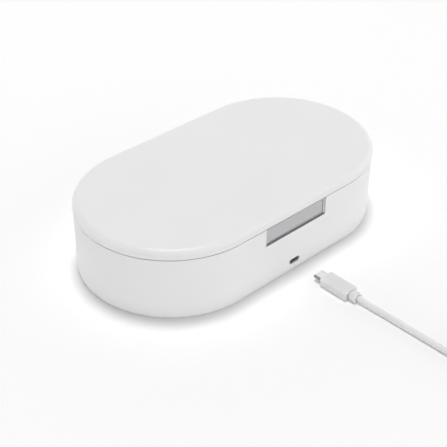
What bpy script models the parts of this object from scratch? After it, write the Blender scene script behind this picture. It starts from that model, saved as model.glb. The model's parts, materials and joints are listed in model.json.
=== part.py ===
"""UV-C sanitizer box for phones, with a wireless charging lid and its USB cable.

The plan is a stadium: two straight sides joined by half circles. X runs along the
box, the button and the charging port face -Y, the hinge is at the back, and the
floor that the rubber feet stand on is at zero. Everything is in metres.
"""

import math

import bmesh
import bpy
from mathutils import Matrix, Vector

# Driving sizes of the box
LENGTH = 0.228
WIDTH = 0.128
HEIGHT = 0.052
LID_HEIGHT = 0.0063
SEAM_GAP = 0.0004
FOOT_STANDOFF = 0.0004
CLEARANCE = 0.0003
SNUG_CLEARANCE = 0.00015
OVERRUN = 0.002
WELD = 0.0005
ARC_SEGMENTS = 18
SMOOTH_ANGLE = math.radians(35)

# Base shell and bottom cover
LID_OVERHANG = 0.0003
BASE_WALL = 0.0022
BASE_BOTTOM_INSET = 0.0012
BASE_BOTTOM_RISE = 0.0036
BASE_BOTTOM_STEPS = 3
BASE_TOP_RADIUS = 0.0003
LEDGE_DEPTH = 0.003
HIGH_LEDGE_DEPTH = 0.0015
LEDGE_THICKNESS = 0.0018
COVER_THICKNESS = 0.0022
FOOT_RADIUS = 0.006
FOOT_RECESS = 0.0008
FOOT_EDGE_RADIUS = 0.0005
FOOT_SCREW_GAP = 0.0069
FOOT_EDGE_MARGIN = 0.031

# Chamber tray in the base
CHAMBER_INSET = 0.01575
UNDERFLOOR_HEIGHT = 0.0079
CHAMBER_RIM_DROP = 0.0015
CHAMBER_FLOOR_RADIUS = 0.006
CHAMBER_RIM_RADIUS = 0.0008
TRAY_WALL = 0.0012
BOSS_RADIUS = 0.0028
BOSS_BOARD_GAP = 0.0082
BOSS_EDGE_MARGIN = 0.030
RIB_COUNT = 4
RIB_PITCH = 0.044
RIB_SPREAD = 0.047
RIB_LENGTH = 0.027
RIB_THICKNESS = 0.003
RIB_HEIGHT = 0.0088
RIB_RADIUS = 0.0012

# Screws
SCREW_RADIUS = 0.001
SCREW_POINT_RADIUS = 0.0006
SCREW_HOLE_RADIUS = 0.0013
SCREW_HEAD_RADIUS = 0.0021
SCREW_HEAD_HEIGHT = 0.0009
SCREW_HEAD_EDGE = 0.0003
SCREW_LENGTH = 0.0045
DRIVER_SLOT_WIDTH = 0.0006
DRIVER_SLOT_DEPTH = 0.0005
DRIVER_SLOT_LENGTH = 0.0026
PILOT_DEPTH = 0.0011

# Lid
LID_WALL = 0.002
LID_TOP_THICKNESS = 0.0016
LID_EDGE_RADIUS = 0.0042
LID_LOWER_RADIUS = 0.0004
LID_INNER_RADIUS = 0.0024
LINER_EDGE_INSET = 0.0031
LINER_STEP_INSET = 0.0165
LINER_STEP_RUN = 0.0008
LINER_THICKNESS = 0.0012
LINER_FLANGE_RISE = 0.0002
LINER_DECK_DROP = 0.003
LID_BOSS_RADIUS = 0.0026
LID_BOSS_INSET = 0.010
SEAL_INSET = 0.0125
SEAL_WIDTH = 0.0014
SEAL_LIP_WIDTH = 0.0006

# UV-C lamps and their holders
LAMP_RADIUS = 0.002
LAMP_TIP_RADIUS = 0.0009
LAMP_TIP_LENGTH = 0.0014
LAMP_LENGTH = 0.130
LAMP_SOCKET_DEPTH = 0.005
HOLDER_LENGTH = 0.007
HOLDER_WIDTH = 0.0092
LOWER_HOLDER_HEIGHT = 0.0082
UPPER_HOLDER_HEIGHT = 0.005
HOLDER_EDGE_RADIUS = 0.0005
UPPER_LAMP_Y = 0.030
TROUGH_SPARE_LENGTH = 0.0065
TROUGH_WALL = 0.0007
LEAD_RADIUS = 0.0006
LEAD_HOLE_RADIUS = 0.0012

# How far across to its socket a lamp's lead has come at its two bends
LEAD_BEND_SHARES = (0.08, 0.75)

# Wireless charger in the lid
COIL_OUTER_RADIUS = 0.0215
COIL_INNER_RADIUS = 0.0100
COIL_THICKNESS = 0.0009
FERRITE_RADIUS = 0.0225
FERRITE_THICKNESS = 0.0008
CHARGER_BOARD_LENGTH = 0.060
CHARGER_BOARD_WIDTH = 0.038
CHARGER_BOARD_Y = -0.004
BOARD_THICKNESS = 0.001
CHARGER_CHIP_HEIGHT = 0.0012
LINER_POST_RADIUS = 0.002

# Hinge at the back
HINGE_INSET = 0.0006
KNUCKLE_RADIUS = 0.0021
HINGE_PIN_RADIUS = 0.0008
HINGE_BORE_RADIUS = 0.001
HINGE_X = 0.036
LID_KNUCKLE_LENGTH = 0.012
BASE_KNUCKLE_LENGTH = 0.007
KNUCKLE_GAP = 0.0004
REAR_BEVEL = 0.0014
REAR_BEVEL_END = 0.012
RIBBON_WIDTH = 0.010
RIBBON_THICKNESS = 0.0004
RIBBON_INSET = 0.0062
RIBBON_SLOT_CLEARANCE = 0.0005

# Button module in the front wall
NOTCH_WIDTH = 0.0548
NOTCH_HEIGHT = 0.0134
BEZEL_FACE_DEPTH = 0.0001
BEZEL_SIDE_RAIL = 0.0021
BEZEL_THIN_RAIL = 0.0008
BEZEL_DROP = 0.0003
BEZEL_FOOT_GAP = 0.0018
BEZEL_FLANGE_THICKNESS = 0.0012
BEZEL_FLANGE_REACH = 0.0032
BUTTON_FACE_DEPTH = 0.0007
BUTTON_EDGE_RADIUS = 0.0004
BUTTON_FLANGE_THICKNESS = 0.001
BUTTON_FLANGE_REACH = 0.001
BUTTON_STEM_RADIUS = 0.002
BUTTON_STEM_LENGTH = 0.0012
BUTTON_TRAVEL = 0.0008
PLUNGER_RADIUS = 0.0016
PLUNGER_BORE_RADIUS = 0.002
PLUNGER_LENGTH = 0.0022
SWITCH_SIZE = 0.006
SWITCH_DEPTH = 0.0035
SWITCH_BOARD_WIDTH = 0.052
SWITCH_BOARD_HEIGHT = 0.0170
POST_SPREAD = 0.036
POST_WIDTH = 0.004
POST_HEIGHT = 0.012
LIGHT_BAR_FACE_DEPTH = 0.0012
LIGHT_BAR_THICKNESS = 0.0012
LED_SIZE = 0.0014
LED_PITCH = 0.009
LED_COUNT = 3
SENSOR_WIDTH = 0.003
SENSOR_X = -0.020

# Closing magnets
MAGNET_RADIUS = 0.004
MAGNET_THICKNESS = 0.0024
MAGNET_X = 0.0385
MAGNET_BOSS_GAP = 0.0049
SENSOR_MAGNET_RADIUS = 0.002

# Main board, charging port and electronics under and in front of the tray
PORT_HOLE_WIDTH = 0.0096
PORT_HOLE_HEIGHT = 0.0039
PORT_SHELL_WIDTH = 0.00894
PORT_SHELL_HEIGHT = 0.00326
PORT_SHELL_LENGTH = 0.0074
PORT_SHELL_WALL = 0.0003
PORT_FACE_DEPTH = 0.0007
PORT_SEAT_GAP = 0.0001
PORT_TONGUE_WIDTH = 0.0066
PORT_TONGUE_THICKNESS = 0.0007
PORT_TONGUE_LENGTH = 0.0045
PORT_BLOCK_LENGTH = 0.002
MAIN_BOARD_THICKNESS = 0.0012
MAIN_BOARD_LENGTH = 0.088
MAIN_BOARD_WIDTH = 0.0403
MAIN_BOARD_FRONT_DEPTH = 0.0034
TRANSFORMER_X = -0.026
TRANSFORMER_SIZE = (0.015, 0.009, 0.010)
TRANSFORMER_WINDING_SIZE = (0.0105, 0.0104, 0.0064)
CAPACITOR_RADIUS = 0.004
CAPACITOR_HEIGHT = 0.011
CAPACITOR_EDGE = 0.0006
CAPACITOR_X = 0.015
CHIP_HEIGHT = 0.0014
CHIP_SIZES = ((0.007, 0.007), (0.009, 0.006), (0.005, 0.005))
INDUCTOR_RADIUS = 0.0035
INDUCTOR_HEIGHT = 0.0034
CONNECTOR_SIZE = (0.007, 0.0045, 0.0030)

# Places on a board, as shares of its length and width from its middle
CHIP_PLACE_SHARES = ((-0.14, 0.10), (0.11, 0.0), (0.30, 0.15))
INDUCTOR_PLACE_SHARES = ((-0.34, 0.10), (0.41, -0.14))
LEFT_LAMP_SOCKET_SHARES = (-0.41, 0.375)
RIGHT_LAMP_SOCKET_SHARES = (0.41, 0.375)
LID_SOCKET_SHARES = (0.0, 0.375)
SWITCH_SOCKET_SHARES = (0.38, -0.37)
BOARD_SCREW_SHARES = ((-0.455, -0.32), (0.455, 0.06))
BOARD_POST_RADIUS = 0.0026

# USB-C plug, lying in front of the port
CORD_DIAMETER = 0.004
PLUG_X = 0.005
PLUG_TIP_Y = -0.0801
PLUG_TIP_WIDTH = 0.0083
PLUG_TIP_HEIGHT = 0.0024
PLUG_TIP_REACH = 0.0067
PLUG_TIP_WALL = 0.0003
PLUG_POCKET_DEPTH = 0.0015
PLUG_INSULATOR_RECESS = 0.0012
PLUG_GRIP_WIDTH = 0.012
PLUG_GRIP_HEIGHT = 0.0064
PLUG_GRIP_LENGTH = 0.0223
PLUG_GRIP_CORNER = 0.0018
PLUG_GRIP_EASE = 0.0009
PLUG_NECK_LENGTH = 0.0058
PLUG_NECK_WIDTH = 0.0076
PLUG_NECK_HEIGHT = 0.0058
PLUG_NECK_EASE = 0.0005

# Cable: the run in front of the box, a tied coil beyond it, and a tail to the other plug
COIL_CENTRE = (0.0353, -0.2213)
COIL_MEAN_RADIUS = 0.0215
COIL_PITCH = 0.0046
COIL_LAYER_RISE = 0.0046
COIL_TURNS = 6.25
COIL_TURN_POINTS = 24
COIL_START_ANGLE = math.pi
TIE_THICKNESS = 0.0006
TIE_WIDTH = 0.005
TIE_ANGLE = math.radians(40)
TIE_CORNER_RADIUS = 0.0012
CORD_STEP = 0.0095
CABLE_ROUTE = (
    (0.0054, -0.1213, 0.0028),
    (0.0059, -0.1333, 0.0021),
    (0.0061, -0.1493, 0.0021),
    (0.0064, -0.1753, 0.0021),
    (0.0066, -0.2023, 0.0022),
)
TAIL_ROUTE = (
    (0.0466, -0.2500, 0.0070),
    (0.0566, -0.2500, 0.0044),
)

# Plug for the power supply
HOST_NECK_X = 0.0666
HOST_NECK_LENGTH = 0.006
HOST_NECK_WIDTH = 0.0076
HOST_NECK_HEIGHT = 0.0064
HOST_NECK_END = 0.0052
HOST_GRIP_WIDTH = 0.0155
HOST_GRIP_HEIGHT = 0.0078
HOST_GRIP_LENGTH = 0.023
HOST_GRIP_CORNER = 0.0022
HOST_GRIP_EASE = 0.001
HOST_SHELL_WIDTH = 0.012
HOST_SHELL_HEIGHT = 0.0045
HOST_SHELL_REACH = 0.0118
HOST_SHELL_WALL = 0.0003
HOST_SHELL_CORNER = 0.0006
HOST_POCKET_DEPTH = 0.0015
HOST_BLADE_HEIGHT = 0.0018

# Places that follow from the sizes above
HALF_STRAIGHT = (LENGTH - WIDTH) / 2
FRONT_Y = -WIDTH / 2 + LID_OVERHANG
SEAM_HEIGHT = HEIGHT - LID_HEIGHT - SEAM_GAP / 2
BASE_BOTTOM_Z = FOOT_STANDOFF
BASE_TOP_Z = SEAM_HEIGHT - SEAM_GAP / 2
LID_BOTTOM_Z = SEAM_HEIGHT + SEAM_GAP / 2
BASE_INNER_INSET = LID_OVERHANG + BASE_WALL
COVER_TOP_Z = BASE_BOTTOM_Z + COVER_THICKNESS
LOW_LEDGE_Z = COVER_TOP_Z + CLEARANCE
TRAY_RIM_Z = BASE_TOP_Z - CHAMBER_RIM_DROP
TRAY_FLANGE_Z = TRAY_RIM_Z - TRAY_WALL
TRAY_UNDERSIDE_Z = COVER_TOP_Z + UNDERFLOOR_HEIGHT
CHAMBER_FLOOR_Z = TRAY_UNDERSIDE_Z + TRAY_WALL
HIGH_LEDGE_Z = TRAY_FLANGE_Z - CLEARANCE
LID_CEILING_Z = HEIGHT - LID_TOP_THICKNESS
FLANGE_Z = LID_BOTTOM_Z + LINER_FLANGE_RISE
FLANGE_TOP_Z = FLANGE_Z + LINER_THICKNESS
DECK_Z = LID_BOTTOM_Z - LINER_DECK_DROP
DECK_TOP_Z = DECK_Z + LINER_THICKNESS
HINGE_Y = WIDTH / 2 - HINGE_INSET
BOARD_LOW_Z = LOW_LEDGE_Z + LEDGE_THICKNESS + CLEARANCE
BOARD_TOP_Z = BOARD_LOW_Z + MAIN_BOARD_THICKNESS
PORT_Z = BOARD_TOP_Z + PORT_SEAT_GAP + PORT_SHELL_HEIGHT / 2
NOTCH_Z = BASE_TOP_Z - NOTCH_HEIGHT
LAMP_HOLDER_X = LAMP_LENGTH / 2 - LAMP_SOCKET_DEPTH + HOLDER_LENGTH / 2
STRIP_Y = (-WIDTH / 2 + BASE_INNER_INSET - WIDTH / 2 + CHAMBER_INSET - TRAY_WALL) / 2
RIBBON_Y = WIDTH / 2 - RIBBON_INSET

# Colours, linear, with roughness and metallic value
LOOKS = {
    "white_shell": ((0.80, 0.80, 0.80), 0.42, 0.0),
    "mirror_liner": ((0.80, 0.82, 0.84), 0.12, 1.0),
    "silver_plastic": ((0.50, 0.50, 0.52), 0.35, 0.4),
    "smoked_plastic": ((0.05, 0.05, 0.055), 0.2, 0.0),
    "grey_rubber": ((0.42, 0.42, 0.43), 0.8, 0.0),
    "white_silicone": ((0.78, 0.79, 0.80), 0.6, 0.0),
    "quartz_glass": ((0.75, 0.80, 0.90), 0.05, 0.0),
    "bare_steel": ((0.55, 0.55, 0.56), 0.25, 1.0),
    "copper_wire": ((0.72, 0.33, 0.14), 0.3, 1.0),
    "ferrite": ((0.06, 0.06, 0.065), 0.7, 0.0),
    "circuit_board": ((0.02, 0.16, 0.06), 0.5, 0.0),
    "black_plastic": ((0.02, 0.02, 0.022), 0.45, 0.0),
    "white_cable": ((0.72, 0.72, 0.73), 0.5, 0.0),
}


def clear_scene():
    for old in list(bpy.data.objects):
        bpy.data.objects.remove(old)


def material(look):
    made = bpy.data.materials.get(look)
    if made is None:
        colour, roughness, metallic = LOOKS[look]
        made = bpy.data.materials.new(look)
        made.use_nodes = True
        shader = made.node_tree.nodes["Principled BSDF"]
        shader.inputs["Base Color"].default_value = (*colour, 1.0)
        shader.inputs["Roughness"].default_value = roughness
        shader.inputs["Metallic"].default_value = metallic
        made.diffuse_color = (*colour, 1.0)
    return made


def add_object(name, bm, look=None, place=(0.0, 0.0, 0.0)):
    """Turn a bmesh into a smooth-shaded object with its origin at place."""
    bmesh.ops.recalc_face_normals(bm, faces=bm.faces)
    bmesh.ops.translate(bm, verts=bm.verts, vec=-Vector(place))
    mesh = bpy.data.meshes.new(name)
    bm.to_mesh(mesh)
    bm.free()
    mesh.shade_smooth()
    mesh.set_sharp_from_angle(angle=SMOOTH_ANGLE)
    made = bpy.data.objects.new(name, mesh)
    made.location = place
    bpy.context.scene.collection.objects.link(made)
    if look:
        mesh.materials.append(material(look))
    return made


def boolean(target, tool, operation):
    """Cut a helper from the target, or fuse it on. The helper itself is a guide only."""
    tool.hide_render = True
    tool.display_type = "WIRE"
    modifier = target.modifiers.new(f"{operation.lower()} {tool.name}", "BOOLEAN")
    modifier.operation = operation
    modifier.object = tool
    modifier.solver = "EXACT"


def cut(target, tool):
    boolean(target, tool, "DIFFERENCE")


def fuse(target, tool):
    boolean(target, tool, "UNION")


def round_edges(target, radius):
    edge = target.modifiers.new("rounded edges", "BEVEL")
    edge.width = radius
    edge.segments = 2
    edge.limit_method = "ANGLE"


def arc_points(centre, radius, start, end, steps):
    """Points on an arc of the (inset, height) plane, angles in degrees."""
    found = []
    for step in range(steps + 1):
        angle = math.radians(start + (end - start) * step / steps)
        found.append((centre[0] + radius * math.cos(angle), centre[1] + radius * math.sin(angle)))
    return found


def plan_points(inset):
    """The box's plan outline drawn in by inset, counter-clockwise."""
    radius = WIDTH / 2 - inset
    found = []
    for side, turn in ((1, -90), (-1, 90)):
        for step in range(ARC_SEGMENTS + 1):
            angle = math.radians(turn + 180 * step / ARC_SEGMENTS)
            found.append((side * HALF_STRAIGHT + radius * math.cos(angle), radius * math.sin(angle)))
    return found


def add_band(bm, lower, upper):
    count = len(lower)
    for index in range(count):
        after = (index + 1) % count
        bm.faces.new((lower[index], lower[after], upper[after], upper[index]))


def add_tower(bm, rings):
    """Bands between following rings, with the first and the last ring filled."""
    for lower, upper in zip(rings, rings[1:]):
        add_band(bm, lower, upper)
    bm.faces.new(rings[0])
    bm.faces.new(rings[-1])


def sweep_plan(name, profile, look, capped):
    """Carry an (inset, height) profile round the plan. Capped: its two ends are filled flat."""
    bm = bmesh.new()
    rings = [[bm.verts.new((x, y, height)) for x, y in plan_points(inset)] for inset, height in profile]
    if capped:
        add_tower(bm, rings)
    else:
        for lower, upper in zip(rings, rings[1:] + rings[:1]):
            add_band(bm, lower, upper)
    return add_object(name, bm, look)


def add_box(bm, low, high):
    outline = ((low[0], low[1]), (high[0], low[1]), (high[0], high[1]), (low[0], high[1]))
    add_tower(bm, [[bm.verts.new((x, y, z)) for x, y in outline] for z in (low[2], high[2])])


def box(name, low, high, look, bevel=0.0, place=(0.0, 0.0, 0.0)):
    bm = bmesh.new()
    add_box(bm, low, high)
    made = add_object(name, bm, look, place)
    if bevel:
        round_edges(made, bevel)
    return made


def box_tool(name, corner_pairs, bevel=0.0):
    """A helper of one or more boxes, each given by its lowest and highest corner."""
    bm = bmesh.new()
    for low, high in corner_pairs:
        add_box(bm, low, high)
    made = add_object(name, bm)
    if bevel:
        round_edges(made, bevel)
    return made


def spans(centre, size):
    """Lowest and highest corner of a box about a centre."""
    low = tuple(middle - side / 2 for middle, side in zip(centre, size))
    high = tuple(middle + side / 2 for middle, side in zip(centre, size))
    return low, high


def add_turned(bm, centre, axis, profile, sides):
    """A solid of revolution: profile is (distance along the axis, radius), first to last."""
    aim = Vector((0, 0, 1)).rotation_difference(Vector(axis)).to_matrix()
    rings = []
    for along, radius in profile:
        ring = []
        for step in range(sides):
            angle = 2 * math.pi * step / sides
            point = Vector((radius * math.cos(angle), radius * math.sin(angle), along))
            ring.append(bm.verts.new(Vector(centre) + aim @ point))
        rings.append(ring)
    add_tower(bm, rings)


def turned(name, centre, axis, profile, look, sides=16, place=(0.0, 0.0, 0.0)):
    bm = bmesh.new()
    add_turned(bm, centre, axis, profile, sides)
    return add_object(name, bm, look, place)


def turned_tool(name, centres, axis, profile, sides=12):
    """A helper of one or more equal turned solids."""
    bm = bmesh.new()
    for centre in centres:
        add_turned(bm, centre, axis, profile, sides)
    return add_object(name, bm)


def rounded_outline(width, height, radius, steps):
    """A rounded rectangle about the origin, counter-clockwise."""
    found = []
    for side_x, side_y, turn in ((1, -1, -90), (1, 1, 0), (-1, 1, 90), (-1, -1, 180)):
        for step in range(steps + 1):
            angle = math.radians(turn + 90 * step / steps)
            x = side_x * (width / 2 - radius) + radius * math.cos(angle)
            y = side_y * (height / 2 - radius) + radius * math.sin(angle)
            found.append((x, y))
    return found


def loft(name, line, along, sections, look=None, steps=4):
    """Join rounded rectangles, each (distance, width, height, radius), along the X or Y axis."""
    bm = bmesh.new()
    rings = []
    for distance, width, height, radius in sections:
        ring = []
        for across, up in rounded_outline(width, height, radius, steps):
            if along == "Y":
                point = (line[0] + across, distance, line[1] + up)
            else:
                point = (distance, line[0] + across, line[1] + up)
            ring.append(bm.verts.new(point))
        rings.append(ring)
    add_tower(bm, rings)
    return add_object(name, bm, look)


def flat_tube(start, end, width, height):
    """The two sections of a straight bar with fully rounded sides."""
    radius = height / 2 - SNUG_CLEARANCE / 2
    return [(start, width, height, radius), (end, width, height, radius)]


def smooth_route(points, step):
    """Points about one step apart on a smooth curve through the route's own points."""
    knots = [Vector(point) for point in points]
    knots = [2 * knots[0] - knots[1]] + knots + [2 * knots[-1] - knots[-2]]
    found = []
    for before, start, end, after in zip(knots, knots[1:], knots[2:], knots[3:]):
        pieces = max(1, round((end - start).length / step))
        for piece in range(pieces):
            way = piece / pieces
            linear = (end - before) * way
            square = (2 * before - 5 * start + 4 * end - after) * way**2
            cube = (3 * start - before - 3 * end + after) * way**3
            found.append((2 * start + linear + square + cube) / 2)
    found.append(knots[-2])
    return found


def tube(name, points, diameter, look, resolution=2):
    """A round cord along a list of points, with flat ends."""
    curve = bpy.data.curves.new(name, "CURVE")
    curve.dimensions = "3D"
    curve.bevel_depth = diameter / 2
    curve.bevel_resolution = resolution
    curve.use_fill_caps = True
    spline = curve.splines.new("POLY")
    spline.points.add(len(points) - 1)
    for knot, point in zip(spline.points, points):
        knot.co = (*point, 1.0)
    spline.use_smooth = True
    curve.materials.append(material(look))
    made = bpy.data.objects.new(name, curve)
    bpy.context.scene.collection.objects.link(made)
    return made


def front(depth):
    """Y of a plane this far in from the base's front face."""
    return FRONT_Y + depth


def corner_places(x, y):
    """The four places at plus or minus x and y, named by side."""
    return {
        "front_left": (-x, -y),
        "front_right": (x, -y),
        "back_left": (-x, y),
        "back_right": (x, y),
    }


def screw(name, centre, axis, length):
    """A cross-recessed screw whose head sits past the centre along the axis."""
    profile = (
        (-length, SCREW_POINT_RADIUS),
        (-length + SCREW_RADIUS, SCREW_RADIUS),
        (0.0, SCREW_RADIUS),
        (0.0, SCREW_HEAD_RADIUS),
        (SCREW_HEAD_HEIGHT - SCREW_HEAD_EDGE, SCREW_HEAD_RADIUS),
        (SCREW_HEAD_HEIGHT, SCREW_HEAD_RADIUS - SCREW_HEAD_EDGE),
    )
    made = turned(name, centre, axis, profile, "bare_steel", sides=10)
    top = Vector(centre) + Vector(axis) * SCREW_HEAD_HEIGHT
    depth = 2 * DRIVER_SLOT_DEPTH
    cut(made, box_tool(f"{name}_slot", [spans(top, (DRIVER_SLOT_LENGTH, DRIVER_SLOT_WIDTH, depth))]))
    cut(made, box_tool(f"{name}_cross_slot", [spans(top, (DRIVER_SLOT_WIDTH, DRIVER_SLOT_LENGTH, depth))]))
    return made


def knuckle_stretches(which):
    """Start and end of the lid knuckle, the base knuckles or the pin, from the hinge's middle."""
    half_lid = LID_KNUCKLE_LENGTH / 2
    base_start = half_lid + KNUCKLE_GAP
    base_end = base_start + BASE_KNUCKLE_LENGTH
    stretches = {
        "lid": ((-half_lid, half_lid),),
        "base": ((-base_end, -base_start), (base_start, base_end)),
        "pin": ((-base_end, base_end),),
    }
    return stretches[which]


def knuckle_tool(name, radius, which, extra):
    """Cylinders on the hinge axis over the stretches of both hinges."""
    bm = bmesh.new()
    for hinge_x in (-HINGE_X, HINGE_X):
        for start, end in knuckle_stretches(which):
            profile = ((start - extra, radius), (end + extra, radius))
            add_turned(bm, (hinge_x, HINGE_Y, SEAM_HEIGHT), (1, 0, 0), profile, 20)
    return add_object(name, bm)


def make_hinge_pins():
    start, end = knuckle_stretches("pin")[0]
    profile = ((start, HINGE_PIN_RADIUS), (end, HINGE_PIN_RADIUS))
    for side, x in (("left", -HINGE_X), ("right", HINGE_X)):
        turned(f"hinge_pin_{side}", (x, HINGE_Y, SEAM_HEIGHT), (1, 0, 0), profile, "bare_steel", sides=14)


def make_base_shell():
    inner = BASE_INNER_INSET
    lip = inner + LEDGE_DEPTH
    high_lip = inner + HIGH_LEDGE_DEPTH
    inset = min(BASE_BOTTOM_INSET, BASE_WALL - CLEARANCE)
    top = BASE_TOP_RADIUS
    profile = [
        (LID_OVERHANG + inset * (1 + x), BASE_BOTTOM_Z + BASE_BOTTOM_RISE * (1 + y))
        for x, y in arc_points((0, 0), 1, 270, 180, BASE_BOTTOM_STEPS)
    ]
    profile += arc_points((LID_OVERHANG + top, BASE_TOP_Z - top), top, 180, 90, 1)
    profile += [
        (inner, BASE_TOP_Z),
        (inner, HIGH_LEDGE_Z),
        (high_lip, HIGH_LEDGE_Z),
        (high_lip, HIGH_LEDGE_Z - LEDGE_THICKNESS),
        (inner, HIGH_LEDGE_Z - LEDGE_THICKNESS - HIGH_LEDGE_DEPTH),
        (inner, LOW_LEDGE_Z + LEDGE_THICKNESS),
        (lip, LOW_LEDGE_Z + LEDGE_THICKNESS),
        (lip, LOW_LEDGE_Z),
        (inner, LOW_LEDGE_Z),
        (inner, BASE_BOTTOM_Z),
    ]
    shell = sweep_plan("base_shell", profile, "white_shell", capped=False)
    fuse(shell, knuckle_tool("base_knuckles", KNUCKLE_RADIUS, "base", 0.0))
    cut_front_openings(shell)

    # Rear edge: room for the lid knuckles, a bevel that the lid swings past, and the bores
    cut(shell, knuckle_tool("lid_knuckle_room", KNUCKLE_RADIUS + CLEARANCE, "lid", KNUCKLE_GAP))
    cut(shell, rear_bevel_tool())
    cut(shell, knuckle_tool("base_bores", HINGE_BORE_RADIUS, "pin", OVERRUN))


def cut_front_openings(shell):
    """The button's notch and the port's hole, with room behind both in the ledges."""
    depth = BASE_WALL + LEDGE_DEPTH + WELD
    half = NOTCH_WIDTH / 2
    notch = ((-half, front(-OVERRUN), NOTCH_Z), (half, front(depth), BASE_TOP_Z + OVERRUN))
    cut(shell, box_tool("notch_cutter", [notch]))
    half += BEZEL_FLANGE_REACH + CLEARANCE
    room = ((-half, front(BASE_WALL), NOTCH_Z), (half, front(depth), HIGH_LEDGE_Z + WELD))
    cut(shell, box_tool("bezel_room_cutter", [room]))
    hole = flat_tube(front(-OVERRUN), front(BASE_WALL + OVERRUN), PORT_HOLE_WIDTH, PORT_HOLE_HEIGHT)
    cut(shell, loft("port_hole_cutter", (0.0, PORT_Z), "Y", hole))


def rear_bevel_tool():
    """A triangular bar along the back edge, broken where the base knuckles stand."""
    back_y = WIDTH / 2 - LID_OVERHANG
    knuckle_end = knuckle_stretches("pin")[0][1]
    bevel_end = HALF_STRAIGHT + REAR_BEVEL_END
    stops = (
        (-bevel_end, -HINGE_X - knuckle_end),
        (-HINGE_X + knuckle_end, HINGE_X - knuckle_end),
        (HINGE_X + knuckle_end, bevel_end),
    )
    section = (
        (back_y - REAR_BEVEL - OVERRUN, BASE_TOP_Z + OVERRUN),
        (back_y + OVERRUN, BASE_TOP_Z - REAR_BEVEL - OVERRUN),
        (back_y + OVERRUN, BASE_TOP_Z + OVERRUN),
    )
    bm = bmesh.new()
    for start, end in stops:
        add_tower(bm, [[bm.verts.new((x, y, z)) for y, z in section] for x in (start, end)])
    return add_object("rear_bevel_cutter", bm)


def boss_x():
    """The tray's bosses stand past the ends of the main board."""
    return MAIN_BOARD_LENGTH / 2 + BOSS_BOARD_GAP + BOSS_RADIUS


def boss_places():
    return corner_places(boss_x(), WIDTH / 2 - BOSS_EDGE_MARGIN)


def foot_places():
    x = boss_x() + SCREW_HEAD_RADIUS + FOOT_SCREW_GAP + FOOT_RADIUS
    return corner_places(x, WIDTH / 2 - FOOT_EDGE_MARGIN)


def lid_boss_places():
    x = MAGNET_X + MAGNET_RADIUS + MAGNET_BOSS_GAP + LID_BOSS_RADIUS
    return corner_places(x, WIDTH / 2 - LID_BOSS_INSET)


def at_height(places, z):
    return [(x, y, z) for x, y in places]


def make_bottom_cover():
    edge = BASE_INNER_INSET + CLEARANCE
    profile = [(edge, BASE_BOTTOM_Z), (edge, COVER_TOP_Z)]
    cover = sweep_plan("bottom_cover", profile, "white_shell", capped=True)
    post_height = BOARD_LOW_Z - SNUG_CLEARANCE - COVER_TOP_Z
    post = ((-WELD, BOARD_POST_RADIUS), (post_height, BOARD_POST_RADIUS))
    posts = at_height(board_screw_places(), COVER_TOP_Z)
    fuse(cover, turned_tool("board_posts", posts, (0, 0, 1), post))
    recess_radius = FOOT_RADIUS + CLEARANCE
    recess = ((-OVERRUN, recess_radius), (FOOT_RECESS, recess_radius))
    feet = at_height(foot_places().values(), BASE_BOTTOM_Z)
    cut(cover, turned_tool("foot_recess_cutter", feet, (0, 0, 1), recess, sides=20))
    head_radius = SCREW_HEAD_RADIUS + CLEARANCE
    seat = SCREW_HEAD_HEIGHT + SNUG_CLEARANCE
    hole = (
        (-OVERRUN, head_radius),
        (seat, head_radius),
        (seat, SCREW_HOLE_RADIUS),
        (COVER_THICKNESS + OVERRUN, SCREW_HOLE_RADIUS),
    )
    screws = at_height(boss_places().values(), BASE_BOTTOM_Z)
    cut(cover, turned_tool("cover_screw_cutter", screws, (0, 0, 1), hole))
    pilot = ((-PILOT_DEPTH, SCREW_HOLE_RADIUS), (post_height + OVERRUN, SCREW_HOLE_RADIUS))
    cut(cover, turned_tool("board_pilot_cutter", posts, (0, 0, 1), pilot))


def make_feet():
    thickness = FOOT_STANDOFF + FOOT_RECESS - CLEARANCE
    profile = (
        (0.0, FOOT_RADIUS - FOOT_EDGE_RADIUS),
        (FOOT_EDGE_RADIUS, FOOT_RADIUS),
        (thickness, FOOT_RADIUS),
    )
    for side, (x, y) in foot_places().items():
        turned(f"rubber_foot_{side}", (x, y, 0.0), (0, 0, 1), profile, "grey_rubber", sides=20)


def make_bottom_screws():
    for side, (x, y) in boss_places().items():
        screw(f"bottom_screw_{side}", (x, y, BASE_BOTTOM_Z + SCREW_HEAD_HEIGHT), (0, 0, -1), SCREW_LENGTH)


def tray_profile():
    """Tray section from the middle of its underside, over the rim, to the middle of its floor."""
    outer = CHAMBER_INSET - TRAY_WALL
    outer_radius = CHAMBER_FLOOR_RADIUS + TRAY_WALL
    edge = BASE_INNER_INSET + CLEARANCE
    rim = CHAMBER_RIM_RADIUS
    low_centre = (outer + outer_radius, TRAY_UNDERSIDE_Z + outer_radius)
    floor_centre = (CHAMBER_INSET + CHAMBER_FLOOR_RADIUS, CHAMBER_FLOOR_Z + CHAMBER_FLOOR_RADIUS)
    profile = arc_points(low_centre, outer_radius, 270, 180, 3)
    profile += [(outer, TRAY_FLANGE_Z), (edge, TRAY_FLANGE_Z), (edge, TRAY_RIM_Z)]
    profile += arc_points((CHAMBER_INSET - rim, TRAY_RIM_Z - rim), rim, 90, 0, 2)
    profile += arc_points(floor_centre, CHAMBER_FLOOR_RADIUS, 180, 270, 4)
    return profile


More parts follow.
